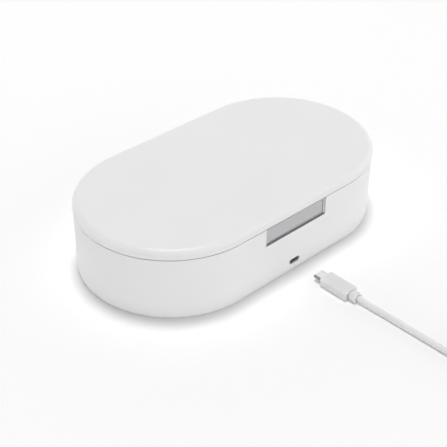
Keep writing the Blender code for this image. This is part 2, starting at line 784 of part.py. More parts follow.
def make_chamber_tray():
    tray = sweep_plan("chamber_tray", tray_profile(), "mirror_liner", capped=True)
    fuse(tray, rib_tool())

    # Screw bosses under the floor and posts behind the switch board
    boss_low = LOW_LEDGE_Z - TRAY_UNDERSIDE_Z
    bosses = at_height(boss_places().values(), TRAY_UNDERSIDE_Z)
    boss = ((boss_low, BOSS_RADIUS), (TRAY_WALL / 2, BOSS_RADIUS))
    fuse(tray, turned_tool("tray_bosses", bosses, (0, 0, 1), boss))
    pilot = ((boss_low - OVERRUN, SCREW_HOLE_RADIUS), (-WELD, SCREW_HOLE_RADIUS))
    cut(tray, turned_tool("tray_pilot_cutter", bosses, (0, 0, 1), pilot))
    post_z = switch_board_low_z() + WELD
    posts = []
    for side in (-1, 1):
        middle = side * POST_SPREAD / 2
        low = (middle - POST_WIDTH / 2, switch_board_back_y() + CLEARANCE, post_z)
        high = (middle + POST_WIDTH / 2, -WIDTH / 2 + CHAMBER_INSET - TRAY_WALL / 2, post_z + POST_HEIGHT)
        posts.append((low, high))
    fuse(tray, box_tool("tray_posts", posts))

    # Lead holes in the floor, the ribbon's slot in the rim, and room for the button's top edge
    holes = [(x, 0.0, TRAY_UNDERSIDE_Z) for x in (-lead_hole_x(), lead_hole_x())]
    hole = ((-OVERRUN, LEAD_HOLE_RADIUS), (TRAY_WALL + OVERRUN, LEAD_HOLE_RADIUS))
    cut(tray, turned_tool("lead_hole_cutter", holes, (0, 0, 1), hole))
    cut(tray, ribbon_slot_tool("tray_ribbon_slot_cutter", TRAY_FLANGE_Z - OVERRUN, TRAY_RIM_Z + OVERRUN))
    half = NOTCH_WIDTH / 2
    depth = BASE_WALL + BUTTON_TRAVEL + CLEARANCE
    room = ((-half, front(0.0), TRAY_FLANGE_Z - OVERRUN), (half, front(depth), TRAY_RIM_Z + OVERRUN))
    cut(tray, box_tool("button_room_cutter", [room]))


def rib_tool():
    """Rows of ribs that carry the phone clear of the lower lamp."""
    first = -RIB_PITCH * (RIB_COUNT - 1) / 2
    low_z = CHAMBER_FLOOR_Z - TRAY_WALL / 2
    height = RIB_HEIGHT + TRAY_WALL / 2
    ribs = []
    for index in range(RIB_COUNT):
        for side in (-1, 1):
            centre = (first + RIB_PITCH * index, side * RIB_SPREAD / 2, low_z + height / 2)
            ribs.append(spans(centre, (RIB_THICKNESS, RIB_LENGTH, height)))
    return box_tool("rest_ribs", ribs, bevel=RIB_RADIUS)


def lead_hole_x():
    """Where a lamp's lead drops through the floor, just past its holder."""
    return LAMP_HOLDER_X + HOLDER_LENGTH / 2 + LEAD_HOLE_RADIUS + CLEARANCE


def ribbon_slot_tool(name, low_z, high_z):
    half = RIBBON_WIDTH / 2 + RIBBON_SLOT_CLEARANCE
    reach = RIBBON_THICKNESS / 2 + RIBBON_SLOT_CLEARANCE
    return box_tool(name, [((-half, RIBBON_Y - reach, low_z), (half, RIBBON_Y + reach, high_z))])


def trough_roof_z():
    """Inside height of the lid's lamp trough: over it the ribbon still passes."""
    return LID_CEILING_Z - 2 * CLEARANCE - RIBBON_THICKNESS - TROUGH_WALL


def lower_lamp_z():
    return CHAMBER_FLOOR_Z + CLEARANCE + LOWER_HOLDER_HEIGHT / 2


def upper_lamp_z():
    return trough_roof_z() - CLEARANCE - UPPER_HOLDER_HEIGHT / 2


def make_lamp(name, y, z, holder_height):
    """A straight tube lamp with a holder pushed over each end."""
    half = LAMP_LENGTH / 2
    profile = (
        (-half, LAMP_TIP_RADIUS),
        (-half + LAMP_TIP_LENGTH, LAMP_RADIUS),
        (half - LAMP_TIP_LENGTH, LAMP_RADIUS),
        (half, LAMP_TIP_RADIUS),
    )
    turned(f"{name}_uv_lamp", (0.0, y, z), (1, 0, 0), profile, "quartz_glass", sides=14)
    bore_radius = LAMP_RADIUS + SNUG_CLEARANCE
    bore_reach = half + CLEARANCE
    for side, x in (("left", -LAMP_HOLDER_X), ("right", LAMP_HOLDER_X)):
        low, high = spans((x, y, z), (HOLDER_LENGTH, HOLDER_WIDTH, holder_height))
        holder = box(f"{name}_lamp_holder_{side}", low, high, "white_silicone", bevel=HOLDER_EDGE_RADIUS)
        bore = ((-bore_reach, bore_radius), (bore_reach, bore_radius))
        cut(holder, turned_tool(f"{name}_bore_cutter_{side}", [(0.0, y, z)], (1, 0, 0), bore))


def socket_z():
    """Height at which leads enter the main board's sockets."""
    return BOARD_TOP_Z + CONNECTOR_SIZE[2] / 2


def on_board(shares):
    """A place on the main board from its shares of length and width."""
    middle_y = front(MAIN_BOARD_FRONT_DEPTH) + MAIN_BOARD_WIDTH / 2
    return shares[0] * MAIN_BOARD_LENGTH, middle_y + shares[1] * MAIN_BOARD_WIDTH


def make_lamp_leads():
    """Each lead leaves its holder, drops through the floor and runs to the main board."""
    start_x = LAMP_HOLDER_X + HOLDER_LENGTH / 2 + CLEARANCE
    drop_x = lead_hole_x()
    z = socket_z()
    sockets = (("left", -1, LEFT_LAMP_SOCKET_SHARES), ("right", 1, RIGHT_LAMP_SOCKET_SHARES))
    for name, side, shares in sockets:
        socket_x, socket_y = on_board(shares)
        end_x = socket_x + side * (CONNECTOR_SIZE[0] / 2 + CLEARANCE)
        turn_x = (side * drop_x + end_x) / 2
        route = [
            (side * start_x, 0.0, CHAMBER_FLOOR_Z + LEAD_HOLE_RADIUS + LEAD_RADIUS),
            (side * drop_x, 0.0, CHAMBER_FLOOR_Z + LEAD_RADIUS),
            (side * drop_x, 0.0, TRAY_UNDERSIDE_Z - LEAD_RADIUS),
            (side * drop_x - side * LEAD_HOLE_RADIUS, socket_y * LEAD_BEND_SHARES[0], z),
            (turn_x, socket_y * LEAD_BEND_SHARES[1], z),
            (end_x + side * 5 * LEAD_RADIUS, socket_y, z),
            (end_x, socket_y, z),
        ]
        points = smooth_route(route, 4 * LEAD_RADIUS)
        tube(f"lower_lamp_lead_{name}", points, 2 * LEAD_RADIUS, "black_plastic", resolution=1)


def board_screw_places():
    return [on_board(shares) for shares in BOARD_SCREW_SHARES]


def make_main_board():
    """The board with its soldered chips, inductors and sockets."""
    start_y = front(MAIN_BOARD_FRONT_DEPTH)
    half = MAIN_BOARD_LENGTH / 2
    board = box(
        "main_board",
        (-half, start_y, BOARD_LOW_Z),
        (half, start_y + MAIN_BOARD_WIDTH, BOARD_TOP_Z),
        "circuit_board",
    )
    soldered = BOARD_TOP_Z - MAIN_BOARD_THICKNESS / 2
    chips = []
    for shares, (length, width) in zip(CHIP_PLACE_SHARES, CHIP_SIZES):
        x, y = on_board(shares)
        low, high = spans((x, y, BOARD_TOP_Z), (length, width, 2 * CHIP_HEIGHT))
        chips.append(((low[0], low[1], soldered), high))
    lamp_sockets = (LEFT_LAMP_SOCKET_SHARES, RIGHT_LAMP_SOCKET_SHARES)
    for shares in (*lamp_sockets, LID_SOCKET_SHARES, SWITCH_SOCKET_SHARES):
        x, y = on_board(shares)
        length, width, height = CONNECTOR_SIZE
        low, high = spans((x, y, BOARD_TOP_Z), (length, width, 2 * height))
        chips.append(((low[0], low[1], soldered), high))
    fuse(board, box_tool("board_chips", chips))
    coil = ((-MAIN_BOARD_THICKNESS / 2, INDUCTOR_RADIUS), (INDUCTOR_HEIGHT, INDUCTOR_RADIUS))
    inductors = at_height([on_board(shares) for shares in INDUCTOR_PLACE_SHARES], BOARD_TOP_Z)
    fuse(board, turned_tool("board_inductors", inductors, (0, 0, 1), coil, sides=12))
    hole = ((-OVERRUN, SCREW_HOLE_RADIUS), (MAIN_BOARD_THICKNESS + OVERRUN, SCREW_HOLE_RADIUS))
    holes = at_height(board_screw_places(), BOARD_LOW_Z)
    cut(board, turned_tool("board_hole_cutter", holes, (0, 0, 1), hole))
    head_z = BOARD_TOP_Z + SNUG_CLEARANCE
    length = head_z - COVER_TOP_Z + PILOT_DEPTH - CLEARANCE
    for index, (x, y) in enumerate(board_screw_places(), start=1):
        screw(f"board_screw_{index}", (x, y, head_z), (0, 0, 1), length)


def make_tall_parts():
    """The lamp transformer and the capacitor, in the strip before the tray."""
    base = BOARD_TOP_Z + CLEARANCE
    height = TRANSFORMER_SIZE[2]
    centre = (TRANSFORMER_X, STRIP_Y, base + height / 2)
    low, high = spans(centre, TRANSFORMER_SIZE)
    core = box("lamp_transformer", low, high, "ferrite", bevel=CLEARANCE)
    fuse(core, box_tool("transformer_winding", [spans(centre, TRANSFORMER_WINDING_SIZE)], bevel=CLEARANCE))
    can = (
        (0.0, CAPACITOR_RADIUS),
        (CAPACITOR_HEIGHT - CAPACITOR_EDGE, CAPACITOR_RADIUS),
        (CAPACITOR_HEIGHT, CAPACITOR_RADIUS - CAPACITOR_EDGE),
    )
    turned("capacitor", (CAPACITOR_X, STRIP_Y, base), (0, 0, 1), can, "black_plastic", sides=18)


def make_charging_port():
    start = front(PORT_FACE_DEPTH)
    end = start + PORT_SHELL_LENGTH
    line = (0.0, PORT_Z)
    outside = flat_tube(start, end, PORT_SHELL_WIDTH, PORT_SHELL_HEIGHT)
    shell = loft("usb_port_shell", line, "Y", outside, "bare_steel")
    inner_width = PORT_SHELL_WIDTH - 2 * PORT_SHELL_WALL
    inner_height = PORT_SHELL_HEIGHT - 2 * PORT_SHELL_WALL
    inside = flat_tube(start - OVERRUN, end + OVERRUN, inner_width, inner_height)
    cut(shell, loft("port_shell_cutter", line, "Y", inside))

    # The contact tongue stands on a block that fills the back of the shell
    block_start = end - PORT_BLOCK_LENGTH
    fit = 2 * SNUG_CLEARANCE
    block = flat_tube(block_start, end, inner_width - fit, inner_height - fit)
    tongue = loft("usb_port_tongue", line, "Y", block, "black_plastic")
    blade_length = PORT_TONGUE_LENGTH + WELD
    centre = (0.0, block_start + WELD - blade_length / 2, PORT_Z)
    blade = spans(centre, (PORT_TONGUE_WIDTH, blade_length, PORT_TONGUE_THICKNESS))
    fuse(tongue, box_tool("tongue_blade", [blade]))


def bezel_low_z():
    return NOTCH_Z + BEZEL_FOOT_GAP


def bezel_high_z():
    return BASE_TOP_Z - BEZEL_DROP


def bezel_half():
    return NOTCH_WIDTH / 2 - CLEARANCE


def bezel_back_depth():
    return BASE_WALL + CLEARANCE + BEZEL_FLANGE_THICKNESS


def button_flange_depth():
    """How far in the back of the button's flange lies."""
    return bezel_back_depth() + CLEARANCE + BUTTON_FLANGE_THICKNESS


def button_middle_z():
    return (bezel_low_z() + HIGH_LEDGE_Z) / 2


def plunger_y():
    return front(button_flange_depth() + BUTTON_STEM_LENGTH + CLEARANCE)


def switch_body_y():
    """Front face of the switch, which the button's stem stays clear of when pressed."""
    return plunger_y() + BUTTON_TRAVEL + CLEARANCE


def switch_board_front_y():
    return switch_body_y() + SWITCH_DEPTH + CLEARANCE


def switch_board_back_y():
    return switch_board_front_y() + BOARD_THICKNESS


def switch_board_low_z():
    return HIGH_LEDGE_Z - CLEARANCE - SWITCH_BOARD_HEIGHT


def make_button_bezel():
    """A frame flush with the front wall, with ears behind the wall at both sides."""
    half = bezel_half()
    low_z = bezel_low_z()
    high_z = bezel_high_z()
    low = (-half, front(BEZEL_FACE_DEPTH), low_z)
    bezel = box("button_bezel", low, (half, front(BASE_WALL), high_z), "silver_plastic", bevel=CLEARANCE)
    ear_z = HIGH_LEDGE_Z - CLEARANCE
    parts = []
    for side in (-1, 1):
        edges = sorted((side * (half - BEZEL_SIDE_RAIL), side * half))
        low = (edges[0], front(BASE_WALL - WELD), low_z + WELD)
        parts.append((low, (edges[1], front(bezel_back_depth()), ear_z)))
    fuse(bezel, box_tool("bezel_rails", parts))
    ears = []
    for side in (-1, 1):
        edges = sorted((side * (half - BEZEL_SIDE_RAIL / 2), side * (half + BEZEL_FLANGE_REACH)))
        low = (edges[0], front(BASE_WALL + CLEARANCE), low_z + WELD)
        ears.append((low, (edges[1], front(bezel_back_depth()), ear_z)))
    fuse(bezel, box_tool("bezel_ears", ears))
    half -= BEZEL_SIDE_RAIL
    low = (-half, front(-OVERRUN), low_z + BEZEL_THIN_RAIL)
    high = (half, front(bezel_back_depth() + OVERRUN), high_z - BEZEL_THIN_RAIL)
    cut(bezel, box_tool("bezel_opening_cutter", [(low, high)]))


def make_power_button():
    """The push bar: a face plate in the bezel, a body behind it and a flange that traps it."""
    half = bezel_half() - BEZEL_SIDE_RAIL - CLEARANCE
    low_z = bezel_low_z() + BEZEL_THIN_RAIL + CLEARANCE
    high_z = bezel_high_z() - BEZEL_THIN_RAIL - CLEARANCE
    middle_z = button_middle_z()
    origin = (0.0, front(BUTTON_FACE_DEPTH), middle_z)
    plate_back = BASE_WALL - CLEARANCE
    flange_back = button_flange_depth()
    low = (-half, front(BUTTON_FACE_DEPTH), low_z)
    high = (half, front(plate_back), high_z)
    button = box("power_button", low, high, "silver_plastic", bevel=BUTTON_EDGE_RADIUS, place=origin)
    body_top = HIGH_LEDGE_Z - 2 * CLEARANCE
    body_start = front((BUTTON_FACE_DEPTH + plate_back) / 2)
    body = ((-half + WELD, body_start, low_z + WELD), (half - WELD, front(flange_back - WELD), body_top))
    fuse(button, box_tool("button_body", [body]))
    half += BUTTON_FLANGE_REACH
    flange_start = front(flange_back - BUTTON_FLANGE_THICKNESS)
    flange = ((-half, flange_start, low_z), (half, front(flange_back), body_top))
    fuse(button, box_tool("button_flange", [flange]))
    stem = ((-WELD, BUTTON_STEM_RADIUS), (BUTTON_STEM_LENGTH, BUTTON_STEM_RADIUS))
    fuse(button, turned_tool("button_stem", [(0.0, front(flange_back), middle_z)], (0, 1, 0), stem))
    plunger = (
        (0.0, PLUNGER_RADIUS - CLEARANCE),
        (CLEARANCE, PLUNGER_RADIUS),
        (PLUNGER_LENGTH, PLUNGER_RADIUS),
    )
    centre = (0.0, plunger_y(), middle_z)
    turned("switch_plunger", centre, (0, 1, 0), plunger, "black_plastic", sides=14, place=origin)


def make_switch_board():
    """The tactile switch, and its board with the status lights and the lid sensor."""
    body_y = switch_body_y()
    middle_z = button_middle_z()
    low, high = spans((0.0, body_y + SWITCH_DEPTH / 2, middle_z), (SWITCH_SIZE, SWITCH_DEPTH, SWITCH_SIZE))
    switch = box("tact_switch", low, high, "bare_steel")
    bore = ((-OVERRUN, PLUNGER_BORE_RADIUS), (PLUNGER_LENGTH + CLEARANCE, PLUNGER_BORE_RADIUS))
    cut(switch, turned_tool("plunger_bore_cutter", [(0.0, body_y, middle_z)], (0, 1, 0), bore))

    low_z = switch_board_low_z()
    half = SWITCH_BOARD_WIDTH / 2
    front_y = switch_board_front_y()
    low = (-half, front_y, low_z)
    high = (half, switch_board_back_y(), low_z + SWITCH_BOARD_HEIGHT)
    board = box("switch_board", low, high, "circuit_board")
    led_z = NOTCH_Z + CLEARANCE + LIGHT_BAR_THICKNESS / 2
    first = -LED_PITCH * (LED_COUNT - 1) / 2
    part_size = (LED_SIZE, 2 * LED_SIZE, LED_SIZE)
    parts = [spans((first + LED_PITCH * index, front_y, led_z), part_size) for index in range(LED_COUNT)]
    sensor_z = low_z + SWITCH_BOARD_HEIGHT - SENSOR_WIDTH
    parts.append(spans((SENSOR_X, front_y, sensor_z), (SENSOR_WIDTH, 2 * LED_SIZE, SENSOR_WIDTH)))
    shallow = [(low, (high[0], front_y + BOARD_THICKNESS / 2, high[2])) for low, high in parts]
    fuse(board, box_tool("switch_board_parts", shallow))
    make_switch_lead(low_z)
    make_status_light_bar(front_y)


def make_switch_lead(board_low_z):
    """From the switch board's lower edge down to the main board."""
    x, y = on_board(SWITCH_SOCKET_SHARES)
    top_z = BOARD_TOP_Z + CONNECTOR_SIZE[2] + CLEARANCE
    hang_y = switch_board_front_y() - LEAD_RADIUS - CLEARANCE
    start_x = SWITCH_BOARD_WIDTH / 2 - 3 * LEAD_RADIUS
    rise = (board_low_z - top_z) / 3
    route = [
        (start_x, hang_y, board_low_z + rise / 2),
        (start_x, hang_y, board_low_z - rise / 4),
        ((start_x + x) / 2, (hang_y + y) / 2, top_z + 1.5 * rise),
        (x, y, top_z + rise / 2),
        (x, y, top_z),
    ]
    points = smooth_route(route, 4 * LEAD_RADIUS)
    tube("switch_lead", points, 2 * LEAD_RADIUS, "black_plastic", resolution=1)


def make_status_light_bar(board_y):
    """A smoked bar in the slot under the button, which brings out the status lights."""
    half = NOTCH_WIDTH / 2 - CLEARANCE
    low = (-half, front(LIGHT_BAR_FACE_DEPTH), NOTCH_Z + CLEARANCE)
    high = (half, board_y - LED_SIZE - CLEARANCE, NOTCH_Z + CLEARANCE + LIGHT_BAR_THICKNESS)
    box("status_light_bar", low, high, "smoked_plastic")


def make_magnets():
    disc = ((0.0, MAGNET_RADIUS), (MAGNET_THICKNESS, MAGNET_RADIUS))
    low_z = HIGH_LEDGE_Z - MAGNET_THICKNESS
    high_z = FLANGE_TOP_Z + CLEARANCE
    for side, x in (("left", -MAGNET_X), ("right", MAGNET_X)):
        turned(f"base_magnet_{side}", (x, STRIP_Y, low_z), (0, 0, 1), disc, "bare_steel", sides=20)
        turned(f"lid_magnet_{side}", (x, STRIP_Y, high_z), (0, 0, 1), disc, "bare_steel", sides=20)
    small = ((0.0, SENSOR_MAGNET_RADIUS), (MAGNET_THICKNESS, SENSOR_MAGNET_RADIUS))
    turned("sensor_magnet", (SENSOR_X, STRIP_Y, high_z), (0, 0, 1), small, "bare_steel", sides=14)


def make_lid_cover():
    edge = LID_EDGE_RADIUS
    lower = LID_LOWER_RADIUS
    inner = LID_INNER_RADIUS
    profile = arc_points((edge, HEIGHT - edge), edge, 90, 180, 6)
    profile += arc_points((lower, LID_BOTTOM_Z + lower), lower, 180, 270, 1)
    profile += [(LID_WALL, LID_BOTTOM_Z)]
    profile += arc_points((LID_WALL + inner, LID_CEILING_Z - inner), inner, 180, 90, 2)
    cover = sweep_plan("lid_cover", profile, "white_shell", capped=True)
    fuse(cover, knuckle_tool("lid_knuckles", KNUCKLE_RADIUS, "lid", 0.0))
    boss_low = FLANGE_TOP_Z + CLEARANCE - LID_CEILING_Z
    bosses = at_height(lid_boss_places().values(), LID_CEILING_Z)
    boss = ((boss_low, LID_BOSS_RADIUS), (LID_TOP_THICKNESS / 2, LID_BOSS_RADIUS))
    fuse(cover, turned_tool("lid_bosses", bosses, (0, 0, 1), boss))
    pilot = ((boss_low - OVERRUN, SCREW_HOLE_RADIUS), (-CLEARANCE, SCREW_HOLE_RADIUS))
    cut(cover, turned_tool("lid_pilot_cutter", bosses, (0, 0, 1), pilot))
    cut(cover, knuckle_tool("base_knuckle_room", KNUCKLE_RADIUS + CLEARANCE, "base", KNUCKLE_GAP))
    cut(cover, knuckle_tool("lid_bores", HINGE_BORE_RADIUS, "pin", OVERRUN))


def make_lid_liner():
    """The mirror deck over the chamber, with a trough for the upper lamp."""
    step = LINER_STEP_INSET
    run = LINER_STEP_RUN
    profile = [
        (step + run, DECK_Z),
        (step, FLANGE_Z),
        (LINER_EDGE_INSET, FLANGE_Z),
        (LINER_EDGE_INSET, FLANGE_TOP_Z),
        (step + LINER_THICKNESS, FLANGE_TOP_Z),
        (step + run + LINER_THICKNESS, DECK_TOP_Z),
    ]
    liner = sweep_plan("lid_liner", profile, "mirror_liner", capped=True)
    half_length = LAMP_HOLDER_X + HOLDER_LENGTH / 2 + TROUGH_SPARE_LENGTH
    half_width = HOLDER_WIDTH / 2 + LAMP_RADIUS / 2
    roof = trough_roof_z()
    low = (-half_length, UPPER_LAMP_Y - half_width, DECK_Z - OVERRUN)
    high = (half_length, UPPER_LAMP_Y + half_width, roof)
    wall = TROUGH_WALL
    shell_low = (low[0] - wall, low[1] - wall, DECK_Z + WELD)
    shell_high = (high[0] + wall, high[1] + wall, roof + wall)
    fuse(liner, box_tool("trough_shell", [(shell_low, shell_high)]))
    cut(liner, box_tool("trough_cutter", [(low, high)]))

    # Posts under the charger board, screw holes in the flange, the ribbon's slot
    post_high = charger_board_z() - CLEARANCE - DECK_TOP_Z
    post = ((-LINER_THICKNESS / 2, LINER_POST_RADIUS), (post_high, LINER_POST_RADIUS))
    x = CHARGER_BOARD_LENGTH / 2 - 2 * LINER_POST_RADIUS
    y = CHARGER_BOARD_WIDTH / 2 - 2 * LINER_POST_RADIUS
    corners = corner_places(x, y).values()
    posts = [(post_x, CHARGER_BOARD_Y + post_y, DECK_TOP_Z) for post_x, post_y in corners]
    fuse(liner, turned_tool("liner_posts", posts, (0, 0, 1), post))
    hole = ((-OVERRUN, SCREW_HOLE_RADIUS), (LINER_THICKNESS + OVERRUN, SCREW_HOLE_RADIUS))
    holes = at_height(lid_boss_places().values(), FLANGE_Z)
    cut(liner, turned_tool("liner_hole_cutter", holes, (0, 0, 1), hole))
    cut(liner, ribbon_slot_tool("liner_ribbon_slot_cutter", FLANGE_Z - OVERRUN, FLANGE_TOP_Z + OVERRUN))


def coil_z():
    return LID_CEILING_Z - CLEARANCE - COIL_THICKNESS


def ferrite_z():
    return coil_z() - CLEARANCE - FERRITE_THICKNESS


def charger_board_z():
    """Underside of the charger board, below the ferrite and the coil."""
    return ferrite_z() - CLEARANCE - BOARD_THICKNESS


def make_charger():
    disc = ((0.0, FERRITE_RADIUS), (FERRITE_THICKNESS, FERRITE_RADIUS))
    turned("ferrite_sheet", (0.0, 0.0, ferrite_z()), (0, 0, 1), disc, "ferrite", sides=32)
    ring = ((0.0, COIL_OUTER_RADIUS), (COIL_THICKNESS, COIL_OUTER_RADIUS))
    coil = turned("charging_coil", (0.0, 0.0, coil_z()), (0, 0, 1), ring, "copper_wire", sides=32)
    middle = ((-OVERRUN, COIL_INNER_RADIUS), (COIL_THICKNESS + OVERRUN, COIL_INNER_RADIUS))
    cut(coil, turned_tool("coil_bore_cutter", [(0.0, 0.0, coil_z())], (0, 0, 1), middle, sides=24))
    board_z = charger_board_z()
    size = (CHARGER_BOARD_LENGTH, CHARGER_BOARD_WIDTH, BOARD_THICKNESS)
    low, high = spans((0.0, CHARGER_BOARD_Y, board_z + BOARD_THICKNESS / 2), size)
    board = box("charger_board", low, high, "circuit_board")
    chips = []
    for shares, (length, width) in zip(CHIP_PLACE_SHARES, CHIP_SIZES):
        x = shares[0] * CHARGER_BOARD_LENGTH
        y = CHARGER_BOARD_Y + shares[1] * CHARGER_BOARD_WIDTH
        low, high = spans((x, y, board_z), (length, width, 2 * CHARGER_CHIP_HEIGHT))
        chips.append((low, (high[0], high[1], board_z + BOARD_THICKNESS / 2)))
    fuse(board, box_tool("charger_chips", chips))


def make_light_seal():
    """A soft lip under the liner that closes on the tray's rim."""
    low = TRAY_RIM_Z + CLEARANCE
    high = FLANGE_Z - CLEARANCE
    inner = SEAL_INSET + SEAL_WIDTH
    narrow = (SEAL_WIDTH - SEAL_LIP_WIDTH) / 2
    profile = [(SEAL_INSET, high), (inner, high), (inner - narrow, low), (SEAL_INSET + narrow, low)]
    sweep_plan("light_seal", profile, "white_silicone", capped=False)


def make_lid_screws():
    length = LINER_THICKNESS + (LID_CEILING_Z - FLANGE_TOP_Z) / 2
    for side, (x, y) in lid_boss_places().items():
        screw(f"lid_screw_{side}", (x, y, FLANGE_Z - SNUG_CLEARANCE), (0, 0, -1), length)


def make_lid_ribbon():
    """The flat lead into the lid: up behind the tray, through both slots, over the trough."""
    back_y = (RIBBON_Y + WIDTH / 2 - CHAMBER_INSET + TRAY_WALL) / 2
    socket_y = on_board(LID_SOCKET_SHARES)[1] + CONNECTOR_SIZE[1] / 2 + CLEARANCE
    low_z = socket_z()
    top_z = LID_CEILING_Z - CLEARANCE - RIBBON_THICKNESS / 2
    trough_y = UPPER_LAMP_Y - HOLDER_WIDTH / 2 - LAMP_RADIUS / 2 - TROUGH_WALL
    drop_y = (trough_y + FERRITE_RADIUS) / 2
    board_y = CHARGER_BOARD_Y + CHARGER_BOARD_WIDTH / 2 + CLEARANCE
    board_z = charger_board_z() + BOARD_THICKNESS / 2
    bend = 5 * RIBBON_THICKNESS
    route = [
        (socket_y, low_z),
        (back_y - 4 * bend, low_z),
        (back_y - bend, low_z + bend),
        (RIBBON_Y, TRAY_UNDERSIDE_Z + 3 * bend),
        (RIBBON_Y, FLANGE_TOP_Z + bend / 2),
        (RIBBON_Y - bend / 2, top_z - bend / 4),
        (RIBBON_Y - 2 * bend, top_z),
        (drop_y + bend / 2, top_z),
        (drop_y, top_z - bend / 4),
        (drop_y, board_z + bend / 4),
        (drop_y - bend / 4, board_z),
        (board_y, board_z),
    ]
    bm = bmesh.new()
    half = RIBBON_WIDTH / 2
    points = [Vector((0, y, z)) for y, z in route]
    rings = []
    for index, point in enumerate(points):
        direction = points[min(index + 1, len(points) - 1)] - points[max(index - 1, 0)]
        offset = Vector((0, -direction.z, direction.y)).normalized() * RIBBON_THICKNESS / 2
        corners = ((-half, -offset), (half, -offset), (half, offset), (-half, offset))
        rings.append([bm.verts.new(point + side + Vector((x, 0, 0))) for x, side in corners])
    add_tower(bm, rings)
    add_object("lid_ribbon", bm, "white_silicone")


def eased_sections(start, end, size, ease):
    """Sections of a grip whose two end edges are eased: size is (width, height, corner)."""
    width, height, corner = size
    way = 1 if end > start else -1
    drawn = (width - 2 * ease, height - 2 * ease, corner - ease / 2)
    middle_share = 1 - math.sqrt(0.5)
    near = ease * middle_share
    half_drawn = (width - 2 * near, height - 2 * near, corner - near / 2)
    return [
        (start, *drawn),
        (start + way * near, *half_drawn),
        (start + way * ease, *size),
        (end - way * ease, *size),
        (end - way * near, *half_drawn),
        (end, *drawn),
    ]


def make_usb_c_plug():
    """The cable's device plug: a steel shell in an overmould with its strain relief."""
    z = PLUG_GRIP_HEIGHT / 2
    line = (PLUG_X, z)
    front_y = PLUG_TIP_Y - PLUG_TIP_REACH
    shell_end = front_y - PLUG_POCKET_DEPTH + CLEARANCE
    outside = flat_tube(PLUG_TIP_Y, shell_end, PLUG_TIP_WIDTH, PLUG_TIP_HEIGHT)
    shell = loft("usb_c_shell", line, "Y", outside, "bare_steel")
    width = PLUG_TIP_WIDTH - 2 * PLUG_TIP_WALL
    height = PLUG_TIP_HEIGHT - 2 * PLUG_TIP_WALL
    inside = flat_tube(PLUG_TIP_Y + OVERRUN, shell_end - OVERRUN, width, height)
    cut(shell, loft("usb_c_shell_cutter", line, "Y", inside))

    back_y = front_y - PLUG_GRIP_LENGTH
    neck_end = back_y - PLUG_NECK_LENGTH
    size = (PLUG_GRIP_WIDTH, PLUG_GRIP_HEIGHT, PLUG_GRIP_CORNER)
    sections = eased_sections(front_y, back_y, size, PLUG_GRIP_EASE)
    neck_corner = PLUG_NECK_HEIGHT / 2 - PLUG_NECK_EASE
    drawn = 2 * PLUG_NECK_EASE
    sections += [
        (back_y, PLUG_NECK_WIDTH, PLUG_NECK_HEIGHT, neck_corner),
        (neck_end + PLUG_NECK_EASE, PLUG_NECK_WIDTH, PLUG_NECK_HEIGHT, neck_corner),
        (neck_end, PLUG_NECK_WIDTH - drawn, PLUG_NECK_HEIGHT - drawn, neck_corner - PLUG_NECK_EASE / 2),
    ]
    grip = loft("usb_c_grip", line, "Y", sections, "white_cable")
    fit = 2 * SNUG_CLEARANCE
    pocket_end = front_y - PLUG_POCKET_DEPTH
    pocket = flat_tube(front_y + OVERRUN, pocket_end, PLUG_TIP_WIDTH + fit, PLUG_TIP_HEIGHT + fit)
    cut(grip, loft("usb_c_pocket_cutter", line, "Y", pocket))
    insulator = flat_tube(PLUG_TIP_Y - PLUG_INSULATOR_RECESS, pocket_end - WELD, width - fit, height - fit)
    fuse(grip, loft("usb_c_insulator", line, "Y", insulator))
    return neck_end


def coil_outer_radius():
    return COIL_MEAN_RADIUS + COIL_PITCH * COIL_TURNS / 4


def coil_radius(turn):
    """The cord spirals in at a steady rate and out again, reversing in the middle."""
    inner = coil_outer_radius() - COIL_PITCH * COIL_TURNS / 2
    return inner + COIL_PITCH * abs(turn - COIL_TURNS / 2)


def coil_low_z():
    """Centre of the coil's lower layer, which lies on the tie."""
    return TIE_THICKNESS + CLEARANCE + CORD_DIAMETER / 2


def coil_path():
    """The upper layer is reached in the half turn where the spiral reverses."""
    found = []
    for step in range(round(COIL_TURNS * COIL_TURN_POINTS) + 1):
        turn = step / COIL_TURN_POINTS
        climb = min(max(turn - COIL_TURNS / 2 + 1 / 4, 0), 1 / 2)
        rise = COIL_LAYER_RISE * (1 - math.cos(2 * math.pi * climb)) / 2
        angle = COIL_START_ANGLE + 2 * math.pi * turn
        x = COIL_CENTRE[0] + coil_radius(turn) * math.cos(angle)
        y = COIL_CENTRE[1] + coil_radius(turn) * math.sin(angle)
        found.append(Vector((x, y, coil_low_z() + rise)))
    start = found[0] + Vector((0, CORD_DIAMETER, 0))
    end = found[-1] + Vector((CORD_DIAMETER, 0, 0))
    return [start] + found + [end]


def least_gap(points, diameter, neighbours):
    """Smallest clear distance of a wound cord to itself, past its own next points."""
    least = math.inf
    for index, point in enumerate(points):
        for other in points[index + neighbours:]:
            least = min(least, (point - other).length)
    return least - diameter


